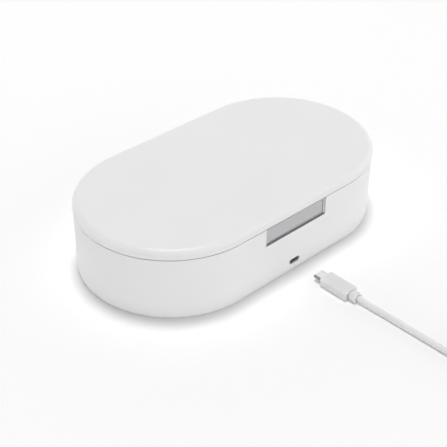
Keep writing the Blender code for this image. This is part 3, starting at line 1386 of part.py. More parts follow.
def make_cable(neck_end):
    coil = coil_path()
    start = (PLUG_X, neck_end - CLEARANCE, PLUG_GRIP_HEIGHT / 2)
    end = tuple(coil[0] + Vector((0, CLEARANCE, 0)))
    stretch = smooth_route([start, *CABLE_ROUTE, end], CORD_STEP)
    tube("cable_stretch", stretch, CORD_DIAMETER, "white_cable")
    tube("cable_coil", coil, CORD_DIAMETER, "white_cable", resolution=1)
    gap = least_gap(coil, CORD_DIAMETER, COIL_TURN_POINTS // 2)
    print(f"cable coil: least gap to itself {gap * 1000:.2f} mm")

    # Tail from the upper layer down to the other plug, which lies beside the coil
    tail_start = coil[-1] + Vector((CLEARANCE, 0, 0))
    host_z = HOST_GRIP_HEIGHT / 2
    tail_end = (HOST_NECK_X - CLEARANCE, tail_start.y, host_z)
    tail = smooth_route([tuple(tail_start), *TAIL_ROUTE, tail_end], CORD_STEP)
    tube("cable_tail", tail, CORD_DIAMETER, "white_cable")
    make_host_plug(tail_start.y, host_z)
    make_cable_tie()
    length = sum((b - a).length for run in (stretch, coil, tail) for a, b in zip(run, run[1:]))
    print(f"cable: {length:.3f} m of cord between its plugs")


def make_host_plug(y, z):
    """The plug for the power supply, facing +X."""
    line = (y, z)
    neck_end = HOST_NECK_X + HOST_NECK_LENGTH
    grip_end = neck_end + HOST_GRIP_LENGTH
    corner = HOST_NECK_END / 2 - PLUG_NECK_EASE
    sections = [
        (HOST_NECK_X, HOST_NECK_END, HOST_NECK_END, corner),
        (neck_end, HOST_NECK_WIDTH, HOST_NECK_HEIGHT, corner),
    ]
    size = (HOST_GRIP_WIDTH, HOST_GRIP_HEIGHT, HOST_GRIP_CORNER)
    sections += eased_sections(neck_end, grip_end, size, HOST_GRIP_EASE)
    grip = loft("usb_a_grip", line, "X", sections, "white_cable", steps=3)
    fit = 2 * SNUG_CLEARANCE
    pocket_start = grip_end - HOST_POCKET_DEPTH
    outer = (HOST_SHELL_WIDTH, HOST_SHELL_HEIGHT, HOST_SHELL_CORNER)
    pocket = (HOST_SHELL_WIDTH + fit, HOST_SHELL_HEIGHT + fit, HOST_SHELL_CORNER)
    ends = (pocket_start, grip_end + OVERRUN)
    cut(grip, loft("usb_a_pocket_cutter", line, "X", [(x, *pocket) for x in ends], steps=1))

    shell_start = pocket_start + CLEARANCE
    shell_end = grip_end + HOST_SHELL_REACH
    sections = [(x, *outer) for x in (shell_start, shell_end)]
    shell = loft("usb_a_shell", line, "X", sections, "bare_steel", steps=1)
    wall = 2 * HOST_SHELL_WALL
    inner = (HOST_SHELL_WIDTH - wall, HOST_SHELL_HEIGHT - wall, HOST_SHELL_WALL)
    ends = (shell_start - OVERRUN, shell_end + OVERRUN)
    cut(shell, loft("usb_a_shell_cutter", line, "X", [(x, *inner) for x in ends], steps=1))
    half = HOST_SHELL_WIDTH / 2 - HOST_SHELL_WALL - SNUG_CLEARANCE
    high_z = z + HOST_SHELL_HEIGHT / 2 - HOST_SHELL_WALL - SNUG_CLEARANCE
    low = (pocket_start - WELD, y - half, high_z - HOST_BLADE_HEIGHT)
    fuse(grip, box_tool("usb_a_blade", [(low, (shell_end - CLEARANCE, y + half, high_z))]))


def make_cable_tie():
    """A closed band round the turns of the coil that pass its place."""
    first = ((TIE_ANGLE - COIL_START_ANGLE) / (2 * math.pi)) % 1
    radii = [coil_radius(first + turn) for turn in range(int(COIL_TURNS - first) + 1)]
    room = CORD_DIAMETER / 2 + CLEARANCE + TIE_THICKNESS
    width = max(radii) - min(radii) + 2 * room
    height = COIL_LAYER_RISE + 2 * room
    middle = (max(radii) + min(radii)) / 2
    spoke = Matrix.Rotation(TIE_ANGLE, 4, "Z")
    centre = Vector((*COIL_CENTRE, height / 2))
    bm = bmesh.new()
    loops = []
    for across, shrink in ((-1, 0.0), (1, 0.0), (1, TIE_THICKNESS), (-1, TIE_THICKNESS)):
        radius = TIE_CORNER_RADIUS - shrink / 2
        outline = rounded_outline(width - 2 * shrink, height - 2 * shrink, radius, 2)
        y = across * TIE_WIDTH / 2
        loops.append([bm.verts.new(centre + spoke @ Vector((middle + x, y, z))) for x, z in outline])
    for loop, after in zip(loops, loops[1:] + loops[:1]):
        add_band(bm, loop, after)
    add_object("cable_tie", bm, "black_plastic")


def hang_lid():
    """The lid's pieces hang from an empty on the hinge axis."""
    hinge = bpy.data.objects.new("lid_hinge_axis", None)
    hinge.location = (0.0, HINGE_Y, SEAM_HEIGHT)
    bpy.context.scene.collection.objects.link(hinge)
    starts = ("lid_cover", "lid_liner", "lid_screw", "lid_magnet", "light_seal", "sensor_magnet", "upper_")
    starts += ("charging_coil", "ferrite_sheet", "charger_board")
    for piece in list(bpy.data.objects):
        if piece.name.startswith(starts) and not piece.hide_render:
            piece.parent = hinge
            piece.matrix_parent_inverse = Matrix.Translation(hinge.location).inverted()


def main():
    clear_scene()
    make_base_shell()
    make_bottom_cover()
    make_feet()
    make_bottom_screws()
    make_chamber_tray()
    make_lamp("lower", 0.0, lower_lamp_z(), LOWER_HOLDER_HEIGHT)
    make_lamp_leads()
    make_main_board()
    make_tall_parts()
    make_charging_port()
    make_button_bezel()
    make_power_button()
    make_switch_board()
    make_magnets()
    make_hinge_pins()
    make_lid_cover()
    make_lid_liner()
    make_lamp("upper", UPPER_LAMP_Y, upper_lamp_z(), UPPER_HOLDER_HEIGHT)
    make_charger()
    make_light_seal()
    make_lid_screws()
    make_lid_ribbon()
    make_cable(make_usb_c_plug())
    hang_lid()


main()
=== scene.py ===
"""Looks of a UV-C sanitizer box for phones: finishes, smooth shells, lamps and the charging cable."""

import json
import math

import bmesh
import bpy
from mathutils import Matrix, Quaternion, Vector


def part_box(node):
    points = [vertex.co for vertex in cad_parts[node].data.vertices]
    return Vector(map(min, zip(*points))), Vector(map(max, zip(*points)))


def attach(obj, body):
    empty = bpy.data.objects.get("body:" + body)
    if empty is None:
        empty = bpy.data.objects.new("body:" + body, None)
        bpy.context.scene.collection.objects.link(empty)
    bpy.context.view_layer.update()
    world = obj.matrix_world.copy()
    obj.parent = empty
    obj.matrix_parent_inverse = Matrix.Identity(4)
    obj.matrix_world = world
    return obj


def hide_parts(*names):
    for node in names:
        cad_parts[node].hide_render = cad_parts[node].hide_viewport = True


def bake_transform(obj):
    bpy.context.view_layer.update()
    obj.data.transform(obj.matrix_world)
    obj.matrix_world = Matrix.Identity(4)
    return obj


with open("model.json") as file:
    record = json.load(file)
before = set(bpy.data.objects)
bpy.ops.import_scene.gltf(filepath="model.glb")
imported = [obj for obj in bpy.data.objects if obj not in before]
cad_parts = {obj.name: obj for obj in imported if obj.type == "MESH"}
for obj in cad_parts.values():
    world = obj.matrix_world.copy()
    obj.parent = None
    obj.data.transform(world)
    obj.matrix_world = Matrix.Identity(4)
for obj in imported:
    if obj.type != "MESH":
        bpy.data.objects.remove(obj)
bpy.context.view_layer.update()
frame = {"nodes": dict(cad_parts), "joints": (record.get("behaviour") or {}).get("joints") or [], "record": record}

# Sizes of the box, read from the frame
LID_LOW, LID_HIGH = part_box("lid_cover")
BASE_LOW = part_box("base_shell")[0]
COVER_LOW, COVER_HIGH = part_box("bottom_cover")
HINGE = Vector(next(j["pos_m"] for j in frame["joints"] if j["name"] == "lid_hinge"))
LENGTH = LID_HIGH.x - LID_LOW.x
WIDTH = -2 * LID_LOW.y
HEIGHT = LID_HIGH.z
HALF_STRAIGHT = (LENGTH - WIDTH) / 2
FRONT_Y = BASE_LOW.y
BASE_EDGE = BASE_LOW.y - LID_LOW.y
BASE_BOTTOM_Z = COVER_LOW.z
TRAY_RIM_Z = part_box("chamber_tray")[1].z
DECK_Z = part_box("lid_liner")[0].z

# Directions, and the corners in the names of the feet and screws
UP = (0, 0, 1)
ACROSS = (1, 0, 0)
BACKWARD = (0, 1, 0)
CORNERS = ("front_left", "front_right", "back_left", "back_right")

# Fits and steps
SEAM_GAP = 0.0004
SEAM_SHADOW = 0.00025
CLEARANCE = 0.0003
OVERRUN = 0.002
WELD = 0.0005
ARC_STEPS = 72
SMOOTH_ANGLE = math.radians(32)
EASED_EDGE = 0.00022
HAIR_GAP = 0.0002

# Shells
BASE_WALL = 0.0022
BASE_BOTTOM_INSET = 0.0012
BASE_BOTTOM_RISE = 0.0036
BASE_BOTTOM_STEPS = 10
BASE_TOP_RADIUS = 0.0002
FOOT_EDGE = 0.0005
FOOT_EDGE_TURNS = (0.5, 1.0, 1.57)
LEDGE_DEPTH = 0.003
HIGH_LEDGE_DEPTH = 0.0015
LEDGE_THICKNESS = 0.0018
COVER_THICKNESS = 0.0022
COVER_TOP_Z = BASE_BOTTOM_Z + COVER_THICKNESS
LID_WALL = 0.002
LID_TOP_THICKNESS = 0.0016
LID_EDGE_RADIUS = 0.0042
LID_LOWER_RADIUS = 0.0002
LID_INNER_RADIUS = 0.0024
LID_BOSS_RADIUS = 0.0026
KNUCKLE_RADIUS = 0.0021
HINGE_BORE_RADIUS = 0.001
HINGE_X = 0.036
LID_KNUCKLE_LENGTH = 0.012
BASE_KNUCKLE_LENGTH = 0.007
KNUCKLE_GAP = 0.0004
REAR_BEVEL = 0.0014
REAR_BEVEL_END = 0.012
NOTCH_WIDTH = 0.0548
NOTCH_HEIGHT = 0.0134
BEZEL_REACH = 0.0032
BEZEL_RAIL = 0.0021
BEZEL_THIN_RAIL = 0.0008
SLOT_DEPTH = 0.0013
PANEL_EDGE = 0.0003
BUTTON_PROUD = 0.0003
BUTTON_TRAVEL = 0.0008
FLANGE_SETBACK = 0.0012
FLANGE_THICKNESS = 0.001
STEM_RADIUS = 0.002
PORT_HOLE = (0.0096, 0.0039)
PORT_EDGE = 0.0001
PORT_CONTACT_COUNT = 12
PORT_CONTACT_PITCH = 0.0005
PORT_CONTACT_WIDTH = 0.00026
PORT_CONTACT_THICKNESS = 0.00006
PORT_CONTACT_REACH = 0.00035
PORT_CONTACT_START = 0.0004
PORT_CONTACT_END = 0.0032

# Chamber
CHAMBER_INSET = 0.01575
CHAMBER_FLOOR_RADIUS = 0.006
CHAMBER_RIM_RADIUS = 0.0008
TRAY_WALL = 0.0012
TRAY_FLANGE_Z = TRAY_RIM_Z - TRAY_WALL
UNDERFLOOR_HEIGHT = 0.0079
TRAY_BOSS_RADIUS = 0.0028
TRAY_POST_X = 0.018
TRAY_POST_WIDTH = 0.004
TRAY_POST_HEIGHT = 0.012
RIB_COUNT = 4
RIB_PITCH = 0.044
RIB_SPREAD = 0.047
RIB_LENGTH = 0.027
RIB_THICKNESS = 0.003
RIB_HEIGHT = 0.0088
RIB_RADIUS = 0.0012
LEAD_HOLE_RADIUS = 0.0012
LEAD_HOLE_X = 0.0685
LINER_EDGE_INSET = 0.0031
LINER_STEP_INSET = 0.0165
LINER_STEP_RUN = 0.0008
LINER_THICKNESS = 0.0012
SEAL_INSET = 0.0125
SEAL_WIDTH = 0.0014
SEAL_LIP_WIDTH = 0.0006
SEAL_SHOULDER = 0.0004
TROUGH_HALF_LENGTH = 0.0735
TROUGH_HALF_WIDTH = 0.0056
TROUGH_WALL = 0.0007
TROUGH_ROOF_RISE = 0.0060
TROUGH_EDGE_RADIUS = 0.0012
RIBBON_THICKNESS = 0.0004
RIBBON_STEP = 0.0008
RIBBON_DROP_GAP = 0.0017
RIBBON_BOARD_DROP = 0.0005
RIBBON_BEND_RISE = 0.0016
SLOT_HALF_WIDTH = 0.0055
SLOT_REACH = 0.0007
SCREW_HOLE_RADIUS = 0.0013

# Screws
SCREW_SLOT = (0.0026, 0.0006)
SCREW_SLOT_DEPTH = 0.0005
SCREW_EDGE = 0.0003
SCREW_HEAD_HEIGHT = 0.0009
SCREW_RADIUS = 0.001
BOARD_POST_RADIUS = 0.0026
PILOT_DEPTH = 0.0011

# Lamps
GLASS_WALL = 0.0004
ELECTRODE_RADIUS = 0.0006
ELECTRODE_LENGTH = 0.0045
ELECTRODE_SETBACK = 0.0026
LEAD_WIRE_LENGTH = 0.006
LAMP_TIP_RADIUS = 0.0009
LAMP_DRAW_LENGTH = 0.0014
LAMP_END_WALL = 0.0016
HOLDER_EDGE_RADIUS = 0.0009

# Cable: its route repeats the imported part's
CORD_DIAMETER = 0.004
COIL_CENTRE = (0.0353, -0.2213)
COIL_MEAN_RADIUS = 0.0215
COIL_PITCH = 0.0046
COIL_LAYER_RISE = 0.0046
COIL_TURNS = 6.25
COIL_TURN_POINTS = 48
COIL_START_ANGLE = math.pi
COIL_LOW_Z = 0.0029
CORD_STEP = 0.004
CABLE_ROUTE = (
    (0.0054, -0.1213, 0.0028),
    (0.0059, -0.1333, 0.0021),
    (0.0061, -0.1493, 0.0021),
    (0.0064, -0.1753, 0.0021),
    (0.0066, -0.2023, 0.0022),
)
TAIL_ROUTE = (
    (0.0466, -0.2500, 0.0070),
    (0.0566, -0.2500, 0.0044),
)

# Plug details
PLUG_GRIP_LENGTH = 0.0223
PLUG_GRIP_WIDTH = 0.012
PLUG_GRIP_CORNER = 0.0018
PLUG_GRIP_EASE = 0.0009
PLUG_NECK_WIDTH = 0.0076
PLUG_NECK_HEIGHT = 0.0058
PLUG_NECK_EASE = 0.0003
PLUG_GROOVE_WIDTH = 0.0008
PLUG_GROOVE_DEPTH = 0.0008
STEEL_WALL = 0.0003
PLUG_LIP_RUN = 0.0002
PLUG_LIP_DRAW = 0.0003
PLUG_SHELL_SUNK = 0.0012
PLUG_CORE_SUNK = 0.0014
PLUG_POCKET_DEPTH = 0.0015
PLUG_MOUTH_DEPTH = 0.0012
TONGUE_SLOT = (0.0067, 0.0008)
# Width over which the plug tip's steel turns from the lighter flat faces to the painted shade of its rounded sides
PLUG_SHADED_SIDE_RUN = 0.0004
PLUG_CUFF_GAP = 0.00035
PLUG_CUFF_DEPTH = 0.0008
TIE_EDGE = 0.00015
HOST_CORNER = 0.0006
HOST_WINDOW_SIZE = 0.0023
HOST_WINDOW_Y = 0.0029
HOST_WINDOW_SETBACK = 0.0068
HOST_NECK_WIDTH = 0.0052
HOST_NECK_LENGTH = 0.006
HOST_NECK_EASE = 0.0005
HOST_NECK_END_WIDTH = 0.0076
HOST_NECK_END_HEIGHT = 0.0064
HOST_GRIP_LENGTH = 0.023
HOST_GRIP_CORNER = 0.0022
HOST_GRIP_EASE = 0.001
HOST_BLADE_GAP = 0.00045
HOST_BLADE_THICKNESS = 0.0018
HOST_BLADE_EDGE = 0.00012
HOST_CONTACT_PITCH = 0.0023
HOST_CONTACT_WIDTH = 0.001
HOST_CONTACT_START = 0.0085
HOST_CONTACT_END = 0.001
HOST_CONTACT_RISE = 0.0001

# Camera, as fitted to the photograph
CAMERA_AZIMUTH = math.radians(-43.786)
CAMERA_ELEVATION = math.radians(35.02)
CAMERA_ROLL = math.radians(0.58)
CAMERA_DISTANCE = 0.7170
CAMERA_TARGET = Vector((-0.01998, -0.01681, 0.02248))
PICTURE_WIDTH_PX = 447
FOCAL_PX = 1080

# Light
FLOOR_SIZE = 8.0
FLOOR_DROP = 0.00005
FLOOR_GLOW = 0.06
FLOOR_FADE_START = 0.5
FLOOR_FADE_END = 1.5
HORIZON_STRENGTH = 1.75
HORIZON_REACH = 0.7
ZENITH_STRENGTH = 0.05
GLOW_FOCUS = 3
GLOWS = (
    (0.28, Vector((-0.05, -0.90, 0.25)).normalized()),
    (0.30, Vector((0.70, -0.70, 0.20)).normalized()),
    (0.42, Vector((0.70, 0.70, 0.20)).normalized()),
)
KEY_POWER = 33.5
KEY_SIZE = 0.62
KEY_PLACE = Vector((0.13, 0.24, 2.60))


# Materials


def add_node(tree, kind, out, inputs=None, **settings):
    """Add a node and give back one output. Inputs are values, or the outputs that feed its sockets."""
    node = tree.nodes.new(f"ShaderNode{kind}")
    for name, value in settings.items():
        setattr(node, name, value)
    for socket, value in (inputs or {}).items():
        if isinstance(value, bpy.types.NodeSocket):
            tree.links.new(value, node.inputs[socket])
        else:
            node.inputs[socket].default_value = value
    return node.outputs[out]


def add_math(tree, operation, *values):
    return add_node(tree, "Math", "Value", dict(enumerate(values)), operation=operation)


EVEN = (1.0, 1.0, 1.0)
FINISHES = {}


class Finish:
    """A Principled material and the few node chains that the finishes share."""

    def __init__(self, name, colour, roughness, metallic=0.0, **sockets):
        FINISHES[name] = self
        self.material = bpy.data.materials.new(name)
        self.material.use_nodes = True
        self.tree = self.material.node_tree
        self.shader = self.tree.nodes["Principled BSDF"]
        sockets.update({"Base Color": (*colour, 1.0), "Roughness": roughness, "Metallic": metallic})
        for socket, value in sockets.items():
            self.shader.inputs[socket.replace("_", " ")].default_value = value
        self.place = self.add("TexCoord", "Object")

    def add(self, kind, out, inputs=None, **settings):
        return add_node(self.tree, kind, out, inputs, **settings)

    def feed(self, socket, value):
        self.tree.links.new(value, self.shader.inputs[socket])
        return self

    def noise(self, scale, detail, stretch):
        placed = self.add("Mapping", "Vector", {"Vector": self.place, "Scale": stretch})
        return self.add("TexNoise", "Fac", {"Vector": placed, "Scale": scale, "Detail": detail})

    def spread(self, value, low, high):
        """The value's middle range carried over to low and high."""
        ends = {"From Min": 0.3, "From Max": 0.7, "To Min": low, "To Max": high}
        return self.add("MapRange", "Result", {"Value": value, **ends})

    def vary_roughness(self, scale, low, high, stretch=EVEN):
        return self.feed("Roughness", self.spread(self.noise(scale, 4.0, stretch), low, high))

    def mix_colours(self, factor, first, second):
        inputs = {"Factor": factor, "A": (*first, 1.0), "B": (*second, 1.0)}
        return self.feed("Base Color", self.add("Mix", "Result", inputs, data_type="RGBA"))

    def vary_colour(self, scale, first, second):
        return self.mix_colours(self.spread(self.noise(scale, 4.0, EVEN), 0.0, 1.0), first, second)

    def bump(self, height, strength, distance):
        inputs = {"Height": height, "Strength": strength, "Distance": distance}
        return self.feed("Normal", self.add("Bump", "Normal", inputs))

    def grain(self, scale, strength, distance, stretch=EVEN):
        return self.bump(self.noise(scale, 2.0, stretch), strength, distance)


def shade(value, tint=EVEN):
    return tuple(value * share for share in tint)


COOL = (0.985, 0.99, 1.0)
SILVER = (0.975, 0.975, 1.0)


def make_finishes():
    """One material for each finish, named as the record's slots are."""
    white = Finish("white_shell", shade(0.80), 0.42).vary_colour(18, shade(0.795), shade(0.81))
    white.vary_roughness(60, 0.38, 0.46).grain(3200, 0.10, 0.00002)
    mirror = Finish("mirror_liner", shade(0.86, COOL), 0.10, 1.0)
    mirror.vary_roughness(45, 0.07, 0.15).grain(140, 0.06, 0.0002)
    silver = Finish("silver_plastic", shade(0.49, SILVER), 0.38)
    silver.vary_colour(5200, shade(0.47, SILVER), shade(0.51, SILVER))
    silver.vary_roughness(400, 0.34, 0.42).grain(4200, 0.08, 0.00002)
    Finish("smoked_plastic", shade(0.09, COOL), 0.22).vary_roughness(200, 0.18, 0.28)
    rubber = Finish("grey_rubber", shade(0.40, COOL), 0.8)
    rubber.vary_colour(300, shade(0.38), shade(0.43)).grain(2600, 0.25, 0.00004)
    silicone = Finish("white_silicone", shade(0.76, COOL), 0.55)
    silicone.vary_roughness(300, 0.5, 0.62).grain(1800, 0.08, 0.00003)
    glass = Finish("quartz_glass", shade(0.96, COOL), 0.03, Transmission_Weight=1.0, IOR=1.46)
    glass.vary_roughness(120, 0.02, 0.05)
    steel = Finish("bare_steel", shade(0.74), 0.32, 1.0).vary_roughness(900, 0.26, 0.40, (1.0, 1.0, 6.0))
    steel.grain(1600, 0.05, 0.00002, (1.0, 8.0, 1.0))
    satin = Finish("satin_steel", shade(0.57), 0.5, 1.0)
    satin.vary_roughness(900, 0.44, 0.56).grain(1600, 0.05, 0.00002)
    ferrite = Finish("ferrite", shade(0.06, COOL), 0.6)
    ferrite.vary_colour(700, shade(0.05), shade(0.08)).grain(2400, 0.2, 0.00004)
    black = Finish("black_plastic", shade(0.022, COOL), 0.45)
    black.vary_roughness(250, 0.4, 0.52).grain(2600, 0.1, 0.00002)
    gold = Finish("gold_contact", (0.83, 0.62, 0.28), 0.25, 1.0)
    gold.vary_roughness(2000, 0.2, 0.32)
    Finish("strap_weave", shade(0.05, COOL), 0.85).grain(3400, 0.5, 0.0002, (1.0, 1.0, 0.4))
    make_white_cable()
    make_plug_steel()
    make_copper_wire()
    make_circuit_board()


def make_white_cable():
    """A soft, slightly see-through white for the cord and its grips."""
    cable = Finish("white_cable", shade(0.74), 0.46, Subsurface_Weight=0.6, Subsurface_Scale=0.004)
    cable.shader.inputs["Subsurface Radius"].default_value = EVEN
    cable.vary_colour(90, shade(0.73), shade(0.755)).vary_roughness(220, 0.42, 0.52)
    cable.grain(2800, 0.10, 0.00002)


def make_plug_steel():
    """Steel for the device plug's tip, with painted light and shade: a lighter steel on its flat faces, a dark
    steel on its rounded sides as if in shade.
    """
    low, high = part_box("usb_c_shell")
    steel = Finish("plug_steel", shade(0.78), 0.32, 1.0).vary_roughness(900, 0.26, 0.40, (1.0, 6.0, 1.0))
    across = steel.add("SeparateXYZ", "X", {"Vector": steel.place})
    offset = add_math(steel.tree, "SUBTRACT", across, (low.x + high.x) / 2)
    away = add_math(steel.tree, "ABSOLUTE", offset)
    flat = (high.x - low.x) / 2 - (high.z - low.z) / 2
    ends = {"From Min": flat, "From Max": flat + PLUG_SHADED_SIDE_RUN}
    # Painted light and shade: flat faces a lighter steel, rounded sides a dark steel standing for shade
    steel.mix_colours(steel.add("MapRange", "Result", {"Value": away, **ends}), shade(0.88), shade(0.30))


# Mesh helpers


def arc_points(centre, radius, start, end, steps):
    """Points on an arc of the (inset, height) plane, angles in degrees."""
    found = []
    for step in range(steps + 1):
        angle = math.radians(start + (end - start) * step / steps)
        found.append((centre[0] + radius * math.cos(angle), centre[1] + radius * math.sin(angle)))
    return found


def plan_points(inset):
    """The box's plan outline drawn in by inset, counter-clockwise."""
    radius = WIDTH / 2 - inset
    found = []
    for side, turn in ((1, -90), (-1, 90)):
        for step in range(ARC_STEPS + 1):
            angle = math.radians(turn + 180 * step / ARC_STEPS)
            found.append((side * HALF_STRAIGHT + radius * math.cos(angle), radius * math.sin(angle)))
    return found


def make_copper_wire():
    """Copper with fine concentric ridges about the vertical axis, for a flat coil."""
    copper = Finish("copper_wire", (0.74, 0.34, 0.15), 0.3, 1.0)
    inputs = {"Vector": copper.place, "Scale": 160}
    rings = copper.add("TexWave", "Fac", inputs, wave_type="RINGS", rings_direction="Z")
    copper.bump(rings, 0.6, 0.0003)


def make_circuit_board():
    """Green solder mask with faint copper runs under it."""
    green = (0.02, 0.15, 0.06)
    board = Finish("circuit_board", green, 0.4)
    inputs = {
        "Vector": board.place,
        "Color1": (*green, 1.0),
        "Color2": (0.018, 0.13, 0.055, 1.0),
        "Mortar": (0.05, 0.24, 0.10, 1.0),
        "Scale": 260,
        "Mortar Size": 0.03,
    }
    runs = board.add("TexBrick", "Color", inputs)
    board.feed("Base Color", runs).bump(runs.node.outputs["Fac"], 0.3, 0.00004)


def add_object(name, data):
    made = bpy.data.objects.new(name, data)
    bpy.context.scene.collection.objects.link(made)
    return made


def to_object(name, bm):
    bmesh.ops.recalc_face_normals(bm, faces=bm.faces)
    mesh = bpy.data.meshes.new(name)
    bm.to_mesh(mesh)
    bm.free()
    return add_object(name, mesh)


def tower(name, stacks, closed=False):
    """One mesh of solids, each a stack of rings of points. The end rings of an open stack are filled."""
    bm = bmesh.new()
    for stack in stacks:
        rings = [[bm.verts.new(point) for point in ring] for ring in stack]
        pairs = list(zip(rings, rings[1:]))
        if closed:
            pairs.append((rings[-1], rings[0]))
        for lower, upper in pairs:
            for corners in zip(lower, lower[1:] + lower[:1], upper[1:] + upper[:1], upper):
                bm.faces.new(corners)
        if not closed:
            bm.faces.new(rings[0])
            bm.faces.new(rings[-1])
    return to_object(name, bm)


def sweep(name, profile, closed=False):
    """Carry an (inset, height) profile round the plan."""
    rings = [[(x, y, height) for x, y in plan_points(inset)] for inset, height in profile]
    return tower(name, [rings], closed)


def boxes(name, pairs):
    """One mesh of boxes, each from its low corner to its high corner."""
    stacks = []
    for (x0, y0, z0), (x1, y1, z1) in pairs:
        stacks.append([((x0, y0, z), (x1, y0, z), (x1, y1, z), (x0, y1, z)) for z in (z0, z1)])
    return tower(name, stacks)


def rod(start, end, radius):
    """The profile of a straight cylinder."""
    return ((start, radius), (end, radius))


def turned_rings(centre, axis, profile, sides):
    """The rings of a solid of revolution: profile is (distance along the axis, radius)."""
    aim = Vector(UP).rotation_difference(Vector(axis)).to_matrix()
    turns = [2 * math.pi * step / sides for step in range(sides)]
    rings = []
    for along, radius in profile:
        points = [Vector((radius * math.cos(turn), radius * math.sin(turn), along)) for turn in turns]
        rings.append([Vector(centre) + aim @ point for point in points])
    return rings


def turned(name, centres, profile, sides=48, axis=UP):
    return tower(name, [turned_rings(centre, axis, profile, sides) for centre in centres])


def rounded_outline(width, height, radius, steps):
    """A rounded rectangle about the origin, counter-clockwise."""
    found = []
    for side_x, side_y, turn in ((1, -1, -90), (1, 1, 0), (-1, 1, 90), (-1, -1, 180)):
        for step in range(steps + 1):
            angle = math.radians(turn + 90 * step / steps)
            x = side_x * (width / 2 - radius) + radius * math.cos(angle)
            y = side_y * (height / 2 - radius) + radius * math.sin(angle)
            found.append((x, y))
    return found


def loft(name, line, along, sections, steps=10):
    """Join rounded rectangles, each (distance, width, height, radius), along the X or Y axis."""
    rings = []
    for distance, width, height, radius in sections:
        outline = rounded_outline(width, height, radius, steps)
        if along == "Y":
            rings.append([(line[0] + across, distance, line[1] + up) for across, up in outline])
        else:
            rings.append([(distance, line[0] + across, line[1] + up) for across, up in outline])
    return tower(name, [rings])


def flat_bar(name, line, start, end, size, steps=12):
    """A straight bar along Y with fully rounded sides."""
    radius = size[1] / 2 - EASED_EDGE / 4
    return loft(name, line, "Y", [(start, *size, radius), (end, *size, radius)], steps)


def settle(piece):
    """Make what the modifiers show the piece's own mesh."""
    bpy.context.view_layer.update()
    shown = piece.evaluated_get(bpy.context.evaluated_depsgraph_get())
    mesh = bpy.data.meshes.new_from_object(shown)
    piece.modifiers.clear()
    piece.data = mesh
    return piece


def carve(piece, joins=(), cuts=()):
    """Fuse helpers on and cut helpers out. The helpers are removed afterwards."""
    for tools, operation in ((joins, "UNION"), (cuts, "DIFFERENCE")):
        for tool in tools:
            modifier = piece.modifiers.new(operation.lower(), "BOOLEAN")
            modifier.operation = operation
            modifier.solver = "EXACT"
            modifier.object = tool
    settle(piece)
    for tool in (*joins, *cuts):
        bpy.data.objects.remove(tool)
    return piece


def ease(piece, width=EASED_EDGE, segments=2, angle=50):
    """Round the sharp edges a little."""
    modifier = piece.modifiers.new("eased edges", "BEVEL")
    modifier.width = width
    modifier.segments = segments
    modifier.limit_method = "ANGLE"
    modifier.angle_limit = math.radians(angle)
    modifier.miter_outer = "MITER_ARC"
    return settle(piece)


def finish_piece(piece, body, finish, *nodes):
    """Shade a piece smooth, give it its finish and set it on its body in place of its nodes."""
    if piece.type == "MESH":
        piece.data.shade_smooth()
        piece.data.set_sharp_from_angle(angle=SMOOTH_ANGLE)
        weighted = piece.modifiers.new("flat faces lead", "WEIGHTED_NORMAL")
        weighted.keep_sharp = True
        weighted.weight = 60
        settle(piece)
    piece.data.materials.clear()
    piece.data.materials.append(FINISHES[finish].material)
    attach(piece, body)
    if nodes:
        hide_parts(*nodes)
    return piece


def front(depth):
    """Y of a plane this far in from the base's front face."""
    return FRONT_Y + depth


def middle(node):
    """Centre of a node's box."""
    return tuple((low + high) / 2 for low, high in zip(*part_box(node)))


def corner_places(stem, z):
    """Places at this height on the axes of the four like nodes, one at each corner."""
    return [(*middle(f"{stem}_{corner}")[:2], z) for corner in CORNERS]


# Base


def knuckle_tool(name, radius, which, extra):
    """Cylinders on the hinge axis over the lid's, the base's or the pin's stretches of both hinges."""
    half_lid = LID_KNUCKLE_LENGTH / 2
    start = half_lid + KNUCKLE_GAP
    end = start + BASE_KNUCKLE_LENGTH
    base = [(-end, -start), (start, end)]
    stretches = {"lid": [(-half_lid, half_lid)], "base": base, "pin": [(-end, end)]}
    stacks = []
    for x in (-HINGE_X, HINGE_X):
        for low, high in stretches[which]:
            profile = rod(low - extra, high + extra, radius)
            stacks.append(turned_rings((x, HINGE.y, HINGE.z), ACROSS, profile, 48))
    return tower(name, stacks)


def rear_bevel_tool():
    """A triangular bar along the back edge, broken where the base's knuckles stand."""
    back_y = WIDTH / 2 - BASE_EDGE
    top_z = base_top_z()
    knuckle_end = LID_KNUCKLE_LENGTH / 2 + KNUCKLE_GAP + BASE_KNUCKLE_LENGTH
    bevel_end = HALF_STRAIGHT + REAR_BEVEL_END
    stops = (
        (-bevel_end, -HINGE_X - knuckle_end),
        (-HINGE_X + knuckle_end, HINGE_X - knuckle_end),
        (HINGE_X + knuckle_end, bevel_end),
    )
    section = (
        (back_y - REAR_BEVEL - OVERRUN, top_z + OVERRUN),
        (back_y + OVERRUN, top_z - REAR_BEVEL - OVERRUN),
        (back_y + OVERRUN, top_z + OVERRUN),
    )
    stacks = [[[(x, y, z) for y, z in section] for x in stop] for stop in stops]
    return tower("rear_bevel_cutter", stacks)


def base_top_z():
    return HINGE.z - SEAM_GAP / 2 - SEAM_SHADOW


def notch_z():
    return HINGE.z - SEAM_GAP / 2 - NOTCH_HEIGHT


def port_z():
    return middle("usb_port_shell")[2]


